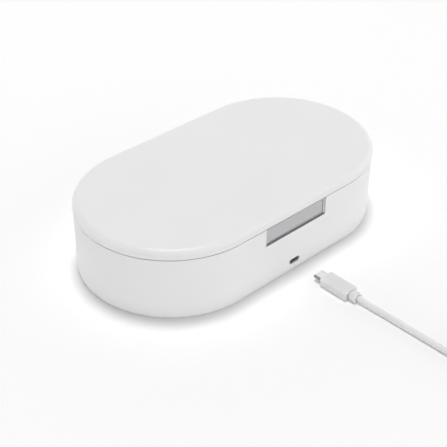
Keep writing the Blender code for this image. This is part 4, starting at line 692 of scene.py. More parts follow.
def make_base_shell():
    inner = BASE_EDGE + BASE_WALL
    lip = inner + LEDGE_DEPTH
    high_lip = inner + HIGH_LEDGE_DEPTH
    top = BASE_TOP_RADIUS
    top_z = base_top_z()
    high_ledge = TRAY_FLANGE_Z - CLEARANCE
    low_ledge = COVER_TOP_Z + CLEARANCE
    profile = [
        (BASE_EDGE + BASE_BOTTOM_INSET * (1 + x), BASE_BOTTOM_Z + BASE_BOTTOM_RISE * (1 + y))
        for x, y in arc_points((0, 0), 1, 270, 180, BASE_BOTTOM_STEPS)
    ]
    profile += arc_points((BASE_EDGE + top, top_z - top), top, 180, 90, 4)
    profile += [
        (inner, top_z),
        (inner, high_ledge),
        (high_lip, high_ledge),
        (high_lip, high_ledge - LEDGE_THICKNESS),
        (inner, high_ledge - LEDGE_THICKNESS - HIGH_LEDGE_DEPTH),
        (inner, low_ledge + LEDGE_THICKNESS),
        (lip, low_ledge + LEDGE_THICKNESS),
        (lip, low_ledge),
        (inner, low_ledge),
        (inner, BASE_BOTTOM_Z),
    ]
    shell = sweep("base_shell_smooth", profile, closed=True)
    depth = front(BASE_WALL + LEDGE_DEPTH + WELD)
    half = NOTCH_WIDTH / 2
    notch = ((-half, front(-OVERRUN), notch_z()), (half, depth, top_z + OVERRUN))
    half += BEZEL_REACH + CLEARANCE
    room = ((-half, front(BASE_WALL), notch_z()), (half, depth, high_ledge + WELD))
    port = (front(-OVERRUN), front(BASE_WALL + OVERRUN), PORT_HOLE)
    cuts = [
        boxes("notch_cutter", [notch]),
        boxes("bezel_room_cutter", [room]),
        flat_bar("port_hole_cutter", (0.0, port_z()), *port, 10),
        knuckle_tool("lid_knuckle_room", KNUCKLE_RADIUS + CLEARANCE, "lid", KNUCKLE_GAP),
        rear_bevel_tool(),
        knuckle_tool("base_bores", HINGE_BORE_RADIUS, "pin", OVERRUN),
    ]
    carve(shell, [knuckle_tool("base_knuckles", KNUCKLE_RADIUS, "base", 0.0)], cuts)
    finish_piece(shell, "base", "white_shell", "base_shell")


def make_bottom_cover():
    edge = BASE_EDGE + BASE_WALL + CLEARANCE
    corner = [(edge + EASED_EDGE, BASE_BOTTOM_Z), (edge, BASE_BOTTOM_Z + EASED_EDGE)]
    cover = sweep("bottom_cover_smooth", [*corner, (edge, COVER_TOP_Z)])
    foot_low, foot_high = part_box("rubber_foot_front_left")
    foot_radius = (foot_high.x - foot_low.x) / 2 + CLEARANCE
    recess = rod(-OVERRUN, foot_high.z + CLEARANCE - BASE_BOTTOM_Z, foot_radius)
    screw_low, screw_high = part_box("bottom_screw_front_left")
    step = SCREW_HEAD_HEIGHT + CLEARANCE / 2
    hole = rod(-OVERRUN, step, (screw_high.x - screw_low.x) / 2 + CLEARANCE)
    hole += rod(step, COVER_TOP_Z - BASE_BOTTOM_Z + OVERRUN, SCREW_HOLE_RADIUS)
    places = [(*middle(node)[:2], COVER_TOP_Z) for node in ("board_screw_1", "board_screw_2")]
    post_height = COVER_HIGH.z - COVER_TOP_Z
    post = rod(-WELD, post_height, BOARD_POST_RADIUS)
    pilot = rod(-PILOT_DEPTH, post_height + OVERRUN, SCREW_HOLE_RADIUS)
    cuts = [
        turned("foot_recess_cutter", corner_places("rubber_foot", BASE_BOTTOM_Z), recess, 64),
        turned("cover_screw_cutter", corner_places("bottom_screw", BASE_BOTTOM_Z), hole, 32),
        turned("board_pilot_cutter", places, pilot, 32),
    ]
    carve(cover, [turned("board_posts", places, post, 32)], cuts)
    finish_piece(cover, "base", "white_shell", "bottom_cover")


def make_feet():
    edge = FOOT_EDGE
    for corner in CORNERS:
        node = f"rubber_foot_{corner}"
        low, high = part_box(node)
        radius = (high.x - low.x) / 2
        profile = [(0.0, radius - edge)]
        for turn in FOOT_EDGE_TURNS:
            profile.append((edge - edge * math.cos(turn), radius - edge + edge * math.sin(turn)))
        profile.append((high.z, radius))
        foot = turned(f"{node}_smooth", [(*middle(node)[:2], 0.0)], profile, 64)
        finish_piece(foot, "base", "grey_rubber", node)


def make_screw(node, body):
    """A cross-recessed screw of the node's own size, its head at the lower end."""
    low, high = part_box(node)
    head_radius = (high.x - low.x) / 2
    length = high.z - low.z
    edge = SCREW_EDGE
    profile = [
        (0.0, head_radius - edge),
        (edge / 3, head_radius - edge / 3),
        (edge, head_radius),
        (SCREW_HEAD_HEIGHT, head_radius),
        (SCREW_HEAD_HEIGHT, SCREW_RADIUS),
        (length - SCREW_RADIUS, SCREW_RADIUS),
        (length, SCREW_RADIUS / 2),
    ]
    place = Vector((*middle(node)[:2], low.z))
    screw = turned(f"{node}_smooth", [place], profile, 32)
    slots = []
    for along, across in (SCREW_SLOT, SCREW_SLOT[::-1]):
        corner = Vector((along / 2, across / 2, SCREW_SLOT_DEPTH))
        slots.append(boxes("driver_slot", [(place - corner, place + corner)]))
    carve(screw, (), slots)
    finish_piece(screw, body, "bare_steel", node)


def make_screws():
    for corner in CORNERS:
        make_screw(f"bottom_screw_{corner}", "base")
        make_screw(f"lid_screw_{corner}", "lid")


# Chamber


def ribbon_slot(low_z, high_z):
    """A cutter for the slot through which the flat lead passes."""
    low = (-SLOT_HALF_WIDTH, ribbon_middle_y() - SLOT_REACH, low_z - OVERRUN)
    high = (SLOT_HALF_WIDTH, ribbon_middle_y() + SLOT_REACH, high_z + OVERRUN)
    return boxes("ribbon_slot_cutter", [(low, high)])


def make_chamber_tray():
    outer = CHAMBER_INSET - TRAY_WALL
    outer_radius = CHAMBER_FLOOR_RADIUS + TRAY_WALL
    underside = COVER_TOP_Z + UNDERFLOOR_HEIGHT
    floor_z = underside + TRAY_WALL
    edge = BASE_EDGE + BASE_WALL + CLEARANCE
    rim = CHAMBER_RIM_RADIUS
    flange_z = TRAY_FLANGE_Z
    floor_radius = CHAMBER_FLOOR_RADIUS
    profile = arc_points((outer + outer_radius, underside + outer_radius), outer_radius, 270, 180, 8)
    profile += [(outer, flange_z), (edge, flange_z), (edge, TRAY_RIM_Z)]
    profile += arc_points((CHAMBER_INSET - rim, TRAY_RIM_Z - rim), rim, 90, 0, 6)
    centre = (CHAMBER_INSET + floor_radius, floor_z + floor_radius)
    profile += arc_points(centre, floor_radius, 180, 270, 12)
    tray = sweep("chamber_tray_smooth", profile)
    holes = [(x, 0.0, underside) for x in (-LEAD_HOLE_X, LEAD_HOLE_X)]
    hole = rod(-OVERRUN, TRAY_WALL + OVERRUN, LEAD_HOLE_RADIUS)
    half = NOTCH_WIDTH / 2
    relief_back = front(BASE_WALL + BUTTON_TRAVEL + CLEARANCE)
    relief = ((-half, front(0.0), flange_z - OVERRUN), (half, relief_back, TRAY_RIM_Z + OVERRUN))
    cuts = [
        turned("lead_hole_cutter", holes, hole, 24),
        ribbon_slot(flange_z, TRAY_RIM_Z),
        boxes("button_room_cutter", [relief]),
    ]
    carve(tray, [make_rib_tool(floor_z), make_boss_tool(underside), make_post_tool()], cuts)
    finish_piece(tray, "base", "mirror_liner", "chamber_tray")


def make_rib_tool(floor_z):
    first = -RIB_PITCH * (RIB_COUNT - 1) / 2
    pairs = []
    for index in range(RIB_COUNT):
        for side in (-1, 1):
            x = first + RIB_PITCH * index
            y = side * RIB_SPREAD / 2
            low = (x - RIB_THICKNESS / 2, y - RIB_LENGTH / 2, floor_z - TRAY_WALL / 2)
            high = (x + RIB_THICKNESS / 2, y + RIB_LENGTH / 2, floor_z + RIB_HEIGHT)
            pairs.append((low, high))
    return ease(boxes("rest_ribs", pairs), RIB_RADIUS, 5)


def make_boss_tool(underside):
    boss = rod(COVER_TOP_Z + CLEARANCE - underside, TRAY_WALL / 2, TRAY_BOSS_RADIUS)
    return turned("tray_bosses", corner_places("bottom_screw", underside), boss, 32)


def make_post_tool():
    """Two posts from the tray's wall to the back of the switch board."""
    board_low, board_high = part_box("switch_board")
    low_z = board_low.z + WELD
    back_y = -WIDTH / 2 + CHAMBER_INSET - TRAY_WALL / 2
    pairs = []
    for x in (-TRAY_POST_X, TRAY_POST_X):
        low = (x - TRAY_POST_WIDTH / 2, board_high.y + CLEARANCE, low_z)
        pairs.append((low, (x + TRAY_POST_WIDTH / 2, back_y, low_z + TRAY_POST_HEIGHT)))
    return boxes("tray_posts", pairs)


def ribbon_middle_y():
    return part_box("lid_ribbon")[1].y - RIBBON_THICKNESS / 2


def liner_flange_z():
    return HINGE.z + SEAM_GAP / 2 + HAIR_GAP


def make_lid_liner():
    step = LINER_STEP_INSET
    run = LINER_STEP_RUN
    flange_z = liner_flange_z()
    flange_top = flange_z + LINER_THICKNESS
    profile = [
        (step + run + WELD, DECK_Z),
        (step + run, DECK_Z + WELD / 4),
        (step, flange_z),
        (LINER_EDGE_INSET, flange_z),
        (LINER_EDGE_INSET, flange_top),
        (step + LINER_THICKNESS, flange_top),
        (step + run + LINER_THICKNESS, DECK_Z + LINER_THICKNESS),
    ]
    liner = sweep("lid_liner_smooth", profile)
    lamp_y = middle("upper_uv_lamp")[1]
    roof = DECK_Z + TROUGH_ROOF_RISE
    wall = TROUGH_WALL
    low = (-TROUGH_HALF_LENGTH, lamp_y - TROUGH_HALF_WIDTH, DECK_Z - OVERRUN)
    high = (TROUGH_HALF_LENGTH, lamp_y + TROUGH_HALF_WIDTH, roof)
    outside_low = (low[0] - wall, low[1] - wall, DECK_Z + WELD)
    outside = (outside_low, (high[0] + wall, high[1] + wall, roof + wall))
    hole = rod(-OVERRUN, LINER_THICKNESS + OVERRUN, SCREW_HOLE_RADIUS)
    trough = ease(boxes("trough_cutter", [(low, high)]), TROUGH_EDGE_RADIUS, 4)
    carve(liner, [boxes("trough_shell", [outside])], [trough])
    holes = turned("liner_hole_cutter", corner_places("lid_screw", flange_z), hole, 32)
    carve(liner, (), [holes, ribbon_slot(flange_z, flange_top)])
    finish_piece(liner, "lid", "mirror_liner", "lid_liner")


def make_light_seal():
    """A soft lip with a rounded edge that closes on the tray's rim."""
    low, high = (corner.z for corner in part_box("light_seal"))
    outer, inner = SEAL_INSET, SEAL_INSET + SEAL_WIDTH
    taper = (SEAL_WIDTH - SEAL_LIP_WIDTH) / 2 / 3
    lip = SEAL_LIP_WIDTH / 2
    profile = [(outer, high), (inner, high), (inner - taper, high - SEAL_SHOULDER)]
    profile += arc_points((outer + SEAL_WIDTH / 2, low + lip), lip, 0, -180, 8)
    profile.append((outer + taper, high - SEAL_SHOULDER))
    seal = sweep("light_seal_smooth", profile, closed=True)
    finish_piece(seal, "lid", "white_silicone", "light_seal")


def make_lamp(name, body):
    """A quartz tube with drawn ends, and an electrode on a wire at each end."""
    node = f"{name}_uv_lamp"
    low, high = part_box(node)
    centre = (low + high) / 2
    half = (high.x - low.x) / 2
    tip = LAMP_TIP_RADIUS
    swell = (high.z - low.z) / 2 - tip
    end = [(half, tip)]
    for share in (0.25, 0.5, 0.75, 1.0):
        end.append((half - LAMP_DRAW_LENGTH * share, tip + swell * math.sin(math.pi / 2 * share)))
    profile = [(-along, size) for along, size in end] + end[::-1]
    tube = turned(f"{node}_tube", [centre], profile, axis=ACROSS)
    squeeze = half - LAMP_END_WALL
    inside = [(along * squeeze / half, max(size - GLASS_WALL, tip / 2)) for along, size in profile]
    hollow = turned("lamp_hollow", [centre], inside, axis=ACROSS)
    for face in hollow.data.polygons:
        face.flip()
    join_into(tube, hollow)
    finish_piece(tube, body, "quartz_glass", node)
    radius = ELECTRODE_RADIUS
    bar = [(0.0, radius / 2), (radius, radius), (ELECTRODE_LENGTH, radius)]
    bar += rod(ELECTRODE_LENGTH, ELECTRODE_LENGTH + LEAD_WIRE_LENGTH, radius / 3)
    for side, way in (("left", -1), ("right", 1)):
        place = (centre.x + way * (half - ELECTRODE_SETBACK), centre.y, centre.z)
        electrode = turned(f"{name}_electrode_{side}", [place], bar, 20, (-way, 0, 0))
        finish_piece(electrode, body, "bare_steel")


def join_into(piece, other):
    """Add the other's mesh to the piece's and remove the other."""
    bm = bmesh.new()
    bm.from_mesh(piece.data)
    bm.from_mesh(other.data)
    bm.to_mesh(piece.data)
    bm.free()
    bpy.data.objects.remove(other)


def make_lamp_holders():
    for name, body in (("lower", "base"), ("upper", "lid")):
        low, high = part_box(f"{name}_uv_lamp")
        axis_place = (0.0, *middle(f"{name}_uv_lamp")[1:])
        reach = high.x + CLEARANCE
        hole = rod(-reach, reach, (high.z - low.z) / 2 + CLEARANCE / 2)
        for side in ("left", "right"):
            node = f"{name}_lamp_holder_{side}"
            holder = ease(boxes(f"{node}_smooth", [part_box(node)]), HOLDER_EDGE_RADIUS, 4)
            carve(holder, (), [turned("bore", [axis_place], hole, axis=ACROSS)])
            finish_piece(holder, body, "white_silicone", node)


# Lid


def make_lid_cover():
    edge = LID_EDGE_RADIUS
    lower = LID_LOWER_RADIUS
    inner = LID_INNER_RADIUS
    bottom_z = HINGE.z + SEAM_GAP / 2 + SEAM_SHADOW / 3
    ceiling = HEIGHT - LID_TOP_THICKNESS
    profile = arc_points((edge, HEIGHT - edge), edge, 90, 180, 16)
    profile += arc_points((lower, bottom_z + lower), lower, 180, 270, 4)
    profile += [(LID_WALL, bottom_z)]
    profile += arc_points((LID_WALL + inner, ceiling - inner), inner, 180, 90, 4)
    cover = sweep("lid_cover_smooth", profile)
    places = corner_places("lid_screw", ceiling)
    boss_low = liner_flange_z() + LINER_THICKNESS + CLEARANCE - ceiling
    boss = rod(boss_low, LID_TOP_THICKNESS / 2, LID_BOSS_RADIUS)
    pilot = rod(boss_low - OVERRUN, -CLEARANCE, SCREW_HOLE_RADIUS)
    joins = [
        knuckle_tool("lid_knuckles", KNUCKLE_RADIUS, "lid", 0.0),
        turned("lid_bosses", places, boss, 32),
    ]
    cuts = [
        turned("lid_pilot_cutter", places, pilot, 24),
        knuckle_tool("base_knuckle_room", KNUCKLE_RADIUS + CLEARANCE, "base", KNUCKLE_GAP),
        knuckle_tool("lid_bores", HINGE_BORE_RADIUS, "pin", OVERRUN),
    ]
    carve(cover, joins, cuts)
    finish_piece(cover, "lid", "white_shell", "lid_cover")


def ribbon_route():
    """The flat lead's middle line, as (y, z), from the main board past the hinge to the lid's board."""
    low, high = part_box("lid_ribbon")
    y = ribbon_middle_y()
    top_z = high.z - RIBBON_THICKNESS / 2
    low_z = low.z + RIBBON_THICKNESS / 2
    trough_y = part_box("upper_lamp_holder_left")[0].y - RIBBON_DROP_GAP
    drop_y = (trough_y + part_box("ferrite_sheet")[1].y) / 2
    board_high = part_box("charger_board")[1]
    board_z = board_high.z - RIBBON_BOARD_DROP
    bend = 5 * RIBBON_THICKNESS
    return [
        (low.y, low_z),
        (y - 7 * bend, low_z),
        (y - 1.6 * bend, low_z + bend / 2),
        (y - 0.3 * bend, low_z + 2 * bend),
        (y, low_z + 4 * bend),
        (y, HINGE.z + RIBBON_BEND_RISE),
        (y - bend / 4, top_z - bend / 2),
        (y - bend, top_z),
        (drop_y + bend / 2, top_z),
        (drop_y, top_z - bend / 4),
        (drop_y, board_z + bend / 4),
        (drop_y - bend / 4, board_z),
        (board_high.y + CLEARANCE, board_z),
    ]


def make_ribbon():
    """The flat lead, a thin strip that runs past the hinge from the main board to the lid's board."""
    low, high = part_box("lid_ribbon")
    points = [Vector((0.0, y, z)) for y, z in ribbon_route()]
    dense = []
    for first, second in zip(points, points[1:]):
        pieces = max(1, round((second - first).length / RIBBON_STEP))
        dense += [first.lerp(second, piece / pieces) for piece in range(pieces)]
    dense.append(points[-1])
    half = (high.x - low.x) / 2
    rings = []
    for index, point in enumerate(dense):
        direction = dense[min(index + 1, len(dense) - 1)] - dense[max(index - 1, 0)]
        offset = Vector((0, -direction.z, direction.y)).normalized() * RIBBON_THICKNESS / 2
        corners = ((-half, -offset), (half, -offset), (half, offset), (-half, offset))
        rings.append([point + side + Vector((x, 0, 0)) for x, side in corners])
    ribbon = tower("lid_ribbon_strip", [rings])
    ribbon.data.materials.append(FINISHES["white_silicone"].material)
    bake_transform(ribbon)
    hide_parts("lid_ribbon")


# Front module


def make_bezel():
    """The frame in the notch. Its lower rail stands back and takes the dark smoked finish, partly a status light's
    slot and partly painted shade for the gap under the push bar.
    """
    low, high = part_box("button_bezel")
    half = NOTCH_WIDTH / 2 - CLEARANCE
    block = ((-half, low.y, low.z), (half, front(BASE_WALL), high.z))
    bezel = ease(boxes("button_bezel_smooth", [block]), PANEL_EDGE, 3)
    back = high.y
    ear_z = TRAY_FLANGE_Z - 2 * CLEARANCE
    rails = []
    ears = []
    for side in (-1, 1):
        edges = sorted((side * (half - BEZEL_RAIL), side * half))
        rails.append(((edges[0], front(BASE_WALL - WELD), low.z + WELD), (edges[1], back, ear_z)))
        edges = sorted((side * (half - BEZEL_RAIL / 2), side * high.x))
        ears.append(((edges[0], front(BASE_WALL + CLEARANCE), low.z + WELD), (edges[1], back, ear_z)))
    half -= BEZEL_RAIL
    slot_z = low.z + BEZEL_THIN_RAIL / 2
    opening_high = (half, back + OVERRUN, high.z - BEZEL_THIN_RAIL)
    opening = ((-half, front(-OVERRUN), slot_z + WELD), opening_high)
    recess_low = (-NOTCH_WIDTH, front(-OVERRUN), low.z - OVERRUN)
    recess = (recess_low, (NOTCH_WIDTH, front(SLOT_DEPTH), slot_z))
    cuts = [boxes("bezel_opening", [opening]), boxes("slot_recess", [recess])]
    carve(bezel, [boxes("rails", rails), boxes("ears", ears)], cuts)
    finish_piece(bezel, "base", "silver_plastic", "button_bezel")
    # The lower rail's faces take the dark smoked finish, partly painted shade for the gap under the push bar
    bezel.data.materials.append(FINISHES["smoked_plastic"].material)
    for face in bezel.data.polygons:
        if face.center.z < slot_z + EASED_EDGE / 2:
            face.material_index = 1


def make_button():
    """The push bar: a plate in the bezel's opening, and its body behind the wall."""
    low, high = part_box("power_button")
    bezel_low, bezel_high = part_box("button_bezel")
    half = NOTCH_WIDTH / 2 - BEZEL_RAIL - CLEARANCE - HAIR_GAP
    plate_low = bezel_low.z + BEZEL_THIN_RAIL / 2 + HAIR_GAP
    plate_high = bezel_high.z - BEZEL_THIN_RAIL - HAIR_GAP
    flange_back = high.y - FLANGE_SETBACK
    plate_back = front(BASE_WALL - CLEARANCE)
    plate = ((-half, low.y - BUTTON_PROUD, plate_low), (half, plate_back, plate_high))
    button = ease(boxes("power_button_smooth", [plate]), PANEL_EDGE, 4)
    body_top = TRAY_FLANGE_Z - 3 * CLEARANCE
    inner = half - WELD
    body_low = (-inner, (low.y + plate_back) / 2, low.z + WELD)
    body = (body_low, (inner, flange_back - WELD, body_top))
    flange = ((low.x, flange_back - FLANGE_THICKNESS, low.z), (high.x, flange_back, body_top))
    middle_z = (bezel_low.z + TRAY_FLANGE_Z - CLEARANCE) / 2
    stem = rod(-WELD, FLANGE_SETBACK, STEM_RADIUS)
    stem = turned("stem", [(0.0, flange_back, middle_z)], stem, 32, BACKWARD)
    carve(button, [boxes("button_body", [body]), boxes("button_flange", [flange]), stem])
    finish_piece(button, "button", "silver_plastic", "power_button")


def make_port():
    low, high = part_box("usb_port_shell")
    line = (0.0, port_z())
    size = (high.x - low.x, high.z - low.z)
    shell = ease(flat_bar("usb_port_shell_smooth", line, low.y, high.y, size), PORT_EDGE)
    opening = [length - 2 * STEEL_WALL for length in size]
    carve(shell, (), [flat_bar("port_inside", line, low.y - OVERRUN, high.y + OVERRUN, opening)])
    finish_piece(shell, "base", "satin_steel", "usb_port_shell")
    front_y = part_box("usb_port_tongue")[0].y
    start_y, end_y = front_y + PORT_CONTACT_START, front_y + PORT_CONTACT_END
    half, lift = PORT_CONTACT_WIDTH / 2, PORT_CONTACT_THICKNESS / 2
    pads = []
    for index in range(PORT_CONTACT_COUNT):
        x = (index - (PORT_CONTACT_COUNT - 1) / 2) * PORT_CONTACT_PITCH
        for z in (line[1] - PORT_CONTACT_REACH, line[1] + PORT_CONTACT_REACH):
            pads.append(((x - half, start_y, z - lift), (x + half, end_y, z + lift)))
    finish_piece(boxes("usb_port_contacts", pads), "base", "gold_contact")


# Cable and plugs


def smooth_route(points, step):
    """Points about one step apart on a smooth curve through the route's own points."""
    knots = [Vector(point) for point in points]
    knots = [2 * knots[0] - knots[1]] + knots + [2 * knots[-1] - knots[-2]]
    found = []
    for before, start, end, after in zip(knots, knots[1:], knots[2:], knots[3:]):
        pieces = max(1, round((end - start).length / step))
        for piece in range(pieces):
            way = piece / pieces
            linear = (end - before) * way
            square = (2 * before - 5 * start + 4 * end - after) * way**2
            cube = (3 * start - before - 3 * end + after) * way**3
            found.append((2 * start + linear + square + cube) / 2)
    found.append(knots[-2])
    return found


def coil_radius(turn):
    outer = COIL_MEAN_RADIUS + COIL_PITCH * COIL_TURNS / 4
    return outer - COIL_PITCH * COIL_TURNS / 2 + COIL_PITCH * abs(turn - COIL_TURNS / 2)


def coil_path():
    found = []
    for step in range(round(COIL_TURNS * COIL_TURN_POINTS) + 1):
        turn = step / COIL_TURN_POINTS
        climb = min(max(turn - COIL_TURNS / 2 + 1 / 4, 0), 1 / 2)
        rise = COIL_LAYER_RISE * (1 - math.cos(2 * math.pi * climb)) / 2
        angle = COIL_START_ANGLE + 2 * math.pi * turn
        x = COIL_CENTRE[0] + coil_radius(turn) * math.cos(angle)
        y = COIL_CENTRE[1] + coil_radius(turn) * math.sin(angle)
        found.append(Vector((x, y, COIL_LOW_Z + rise)))
    return found


def make_cord():
    """One cord from the device plug's neck, through the tied coil, to the other plug's neck."""
    grip_x, _, grip_z = middle("usb_c_grip")
    start_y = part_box("usb_c_grip")[0].y + PLUG_CUFF_DEPTH + HAIR_GAP
    exit_point = (grip_x, start_y, grip_z)
    coil = coil_path()
    coil_start = coil[0] + Vector((0, CORD_DIAMETER, 0))
    coil_end = coil[-1] + Vector((CORD_DIAMETER, 0, 0))
    far = (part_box("usb_a_grip")[0].x + HAIR_GAP, coil_end.y, middle("usb_a_grip")[2])
    points = smooth_route([exit_point, *CABLE_ROUTE, tuple(coil_start)], CORD_STEP)
    points += coil
    points += smooth_route([tuple(coil_end), *TAIL_ROUTE, far], CORD_STEP)
    curve = bpy.data.curves.new("charging_cord", "CURVE")
    curve.dimensions = "3D"
    curve.bevel_depth = CORD_DIAMETER / 2
    curve.bevel_resolution = 6
    curve.use_fill_caps = True
    spline = curve.splines.new("POLY")
    spline.points.add(len(points) - 1)
    for knot, point in zip(spline.points, points):
        knot.co = (*point, 1.0)
    spline.use_smooth = True
    cord = add_object("charging_cord", curve)
    finish_piece(cord, "base", "white_cable", "cable_stretch", "cable_coil", "cable_tail")
    length = sum((after - before).length for before, after in zip(points, points[1:]))
    return cord, exit_point, length


def eased_sections(start, end, size, amount, steps=5):
    """Sections of a grip whose two end edges are eased: size is (width, height, corner)."""
    width, height, corner = size
    way = 1 if end > start else -1
    near = []
    for step in range(steps + 1):
        turn = math.pi / 2 * step / steps
        along = amount * (1 - math.cos(turn))
        inset = amount * (1 - math.sin(turn))
        near.append((along, width - 2 * inset, height - 2 * inset, corner - inset / 2))
    first = [(start + way * along, *rest) for along, *rest in near]
    last = [(end - way * along, *rest) for along, *rest in reversed(near)]
    return first + last


def make_usb_c_shell(line, size):
    low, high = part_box("usb_c_shell")
    radius = size[1] / 2 - EASED_EDGE / 4
    sections = [(y, *size, radius) for y in (low.y, high.y - PLUG_LIP_RUN)]
    lip = [length - PLUG_LIP_DRAW for length in size]
    sections.append((high.y, *lip, radius - PLUG_LIP_RUN / 2))
    shell = loft("usb_c_shell_smooth", line, "Y", sections, 12)
    opening = [length - 2 * STEEL_WALL for length in size]
    carve(shell, (), [flat_bar("usb_c_mouth", line, low.y - OVERRUN, high.y + OVERRUN, opening)])
    finish_piece(shell, "base", "plug_steel", "usb_c_shell")


def make_usb_c_grip(line, shell_size, front_y):
    """The overmould: an eased block, a groove, and the neck with a cuff round the cord."""
    low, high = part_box("usb_c_grip")
    back_y = front_y - PLUG_GRIP_LENGTH
    size = (PLUG_GRIP_WIDTH, high.z - low.z, PLUG_GRIP_CORNER)
    sections = eased_sections(front_y, back_y, size, PLUG_GRIP_EASE)
    corner = PLUG_NECK_HEIGHT / 2 - PLUG_NECK_EASE
    drawn = 2 * PLUG_GROOVE_DEPTH
    groove = (PLUG_NECK_WIDTH - drawn, PLUG_NECK_HEIGHT - drawn, corner - drawn / 2)
    sections += [(back_y, *groove), (back_y - PLUG_GROOVE_WIDTH, *groove)]
    sections.append((back_y - PLUG_GROOVE_WIDTH, PLUG_NECK_WIDTH, PLUG_NECK_HEIGHT, corner))
    for step in range(4):
        turn = math.pi / 2 * step / 3
        y = low.y + PLUG_NECK_EASE * (1 - math.sin(turn))
        inset = 2 * PLUG_NECK_EASE * (1 - math.cos(turn))
        sections.append((y, PLUG_NECK_WIDTH - inset, PLUG_NECK_HEIGHT - inset, corner - inset / 4))
    grip = loft("usb_c_grip_smooth", line, "Y", sections, 10)
    opening = [length + CLEARANCE for length in shell_size]
    pocket = flat_bar("usb_c_pocket", line, front_y + OVERRUN, front_y - PLUG_POCKET_DEPTH, opening)
    cuff = rod(-OVERRUN, PLUG_CUFF_DEPTH, CORD_DIAMETER / 2 + PLUG_CUFF_GAP)
    bore = turned("usb_c_cuff", [(line[0], low.y, line[1])], cuff, axis=BACKWARD)
    carve(grip, (), [pocket, bore])
    return finish_piece(grip, "base", "white_cable", "usb_c_grip")


def make_usb_c_plug():
    """Shell, grip and the black insulator with the slot for the port's tongue."""
    low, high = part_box("usb_c_shell")
    x, _, z = middle("usb_c_grip")
    size = (high.x - low.x, high.z - low.z)
    front_y = low.y + PLUG_SHELL_SUNK
    make_usb_c_shell((x, z), size)
    grip = make_usb_c_grip((x, z), size, front_y)
    core_size = [length - 2 * STEEL_WALL - CLEARANCE for length in size]
    ends = (high.y - PLUG_MOUTH_DEPTH, front_y - PLUG_CORE_SUNK)
    core = flat_bar("usb_c_insulator", (x, z), *ends, core_size, 10)
    half, rise = (length / 2 for length in TONGUE_SLOT)
    slot = ((x - half, front_y, z - rise), (x + half, high.y + OVERRUN, z + rise))
    carve(core, (), [boxes("tongue_slot", [slot])])
    finish_piece(core, "base", "black_plastic")
    return grip


def make_usb_a_shell(line, width, height):
    """A folded steel sleeve with two square windows in its upper side."""
    low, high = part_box("usb_a_shell")
    run = PLUG_LIP_RUN
    sections = [(x, width, height, HOST_CORNER) for x in (low.x, high.x - run)]
    sections.append((high.x, width - run, height - run, HOST_CORNER))
    shell = loft("usb_a_shell_smooth", line, "X", sections, 6)
    opening = (width - 2 * STEEL_WALL, height - 2 * STEEL_WALL, HOST_CORNER / 2)
    inner = [(x, *opening) for x in (low.x - OVERRUN, high.x + OVERRUN)]
    half = HOST_WINDOW_SIZE / 2
    windows = []
    for side in (-1, 1):
        x, y = high.x - HOST_WINDOW_SETBACK, line[0] + side * HOST_WINDOW_Y
        windows.append(((x - half, y - half, line[1]), (x + half, y + half, line[1] + height)))
    carve(shell, (), [loft("usb_a_mouth", line, "X", inner, 6), boxes("usb_a_windows", windows)])
    finish_piece(shell, "base", "bare_steel", "usb_a_shell")


def make_usb_a_grip(line, width, height, grip_end):
    low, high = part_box("usb_a_grip")
    neck = HOST_NECK_WIDTH
    neck_end = grip_end - HOST_GRIP_LENGTH
    size = (high.y - low.y, high.z - low.z, HOST_GRIP_CORNER)
    corner = neck / 2 - HOST_NECK_EASE
    wide = neck + PLUG_LIP_DRAW
    sections = [(low.x, neck, neck, corner)]
    sections.append((low.x + PLUG_LIP_RUN, wide, wide, corner + PLUG_LIP_RUN / 2))
    sections.append((neck_end, HOST_NECK_END_WIDTH, HOST_NECK_END_HEIGHT, corner))
    sections += eased_sections(neck_end, grip_end, size, HOST_GRIP_EASE)
    grip = loft("usb_a_grip_smooth", line, "X", sections, 10)
    opening = (width + CLEARANCE, height + CLEARANCE, HOST_CORNER)
    pocket = [(x, *opening) for x in (grip_end - PLUG_POCKET_DEPTH, grip_end + OVERRUN)]
    carve(grip, (), [loft("usb_a_pocket", line, "X", pocket, 6)])
    return finish_piece(grip, "base", "white_cable", "usb_a_grip")


def make_usb_a_plug():
    """Shell, grip, and the blade with four contacts inside."""
    low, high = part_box("usb_a_shell")
    line = middle("usb_a_shell")[1:]
    width, height = high.y - low.y, high.z - low.z
    grip_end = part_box("usb_a_grip")[0].x + HOST_NECK_LENGTH + HOST_GRIP_LENGTH
    make_usb_a_shell(line, width, height)
    grip = make_usb_a_grip(line, width, height, grip_end)
    half = width / 2 - HOST_BLADE_GAP
    blade_high = (high.x - CLEARANCE, line[0] + half, line[1] + height / 2 - HOST_BLADE_GAP)
    under = blade_high[2] - HOST_BLADE_THICKNESS
    blade = ((grip_end - PLUG_CORE_SUNK, line[0] - half, under), blade_high)
    blade = ease(boxes("usb_a_blade", [blade]), HOST_BLADE_EDGE)
    finish_piece(blade, "base", "white_silicone")
    start_x, end_x = high.x - HOST_CONTACT_START, high.x - HOST_CONTACT_END
    half = HOST_CONTACT_WIDTH / 2
    sunk = HOST_CONTACT_RISE / 2
    pads = []
    for index in range(4):
        y = line[0] + (index - 1.5) * HOST_CONTACT_PITCH
        pads.append(((start_x, y - half, under - sunk), (end_x, y + half, under + HOST_CONTACT_RISE)))
    finish_piece(boxes("usb_a_contacts", pads), "base", "gold_contact")
    return grip


def make_tie():
    """A hook-and-loop band round the turns, with rounded corners."""
    bm = bmesh.new()
    bm.from_mesh(frame["nodes"]["cable_tie"].data)
    tie = ease(to_object("cable_tie_band", bm), TIE_EDGE, 2, 40)
    return finish_piece(tie, "base", "strap_weave", "cable_tie")


# Stage


def seen_rays(tree):
    """One for rays that show the background: from the camera, off gloss and through glass."""
    path = tree.nodes.new("ShaderNodeLightPath").outputs
    seen = path["Is Camera Ray"]
    for ray in ("Is Glossy Ray", "Is Transmission Ray"):
        seen = add_math(tree, "MAXIMUM", seen, path[ray])
    return seen


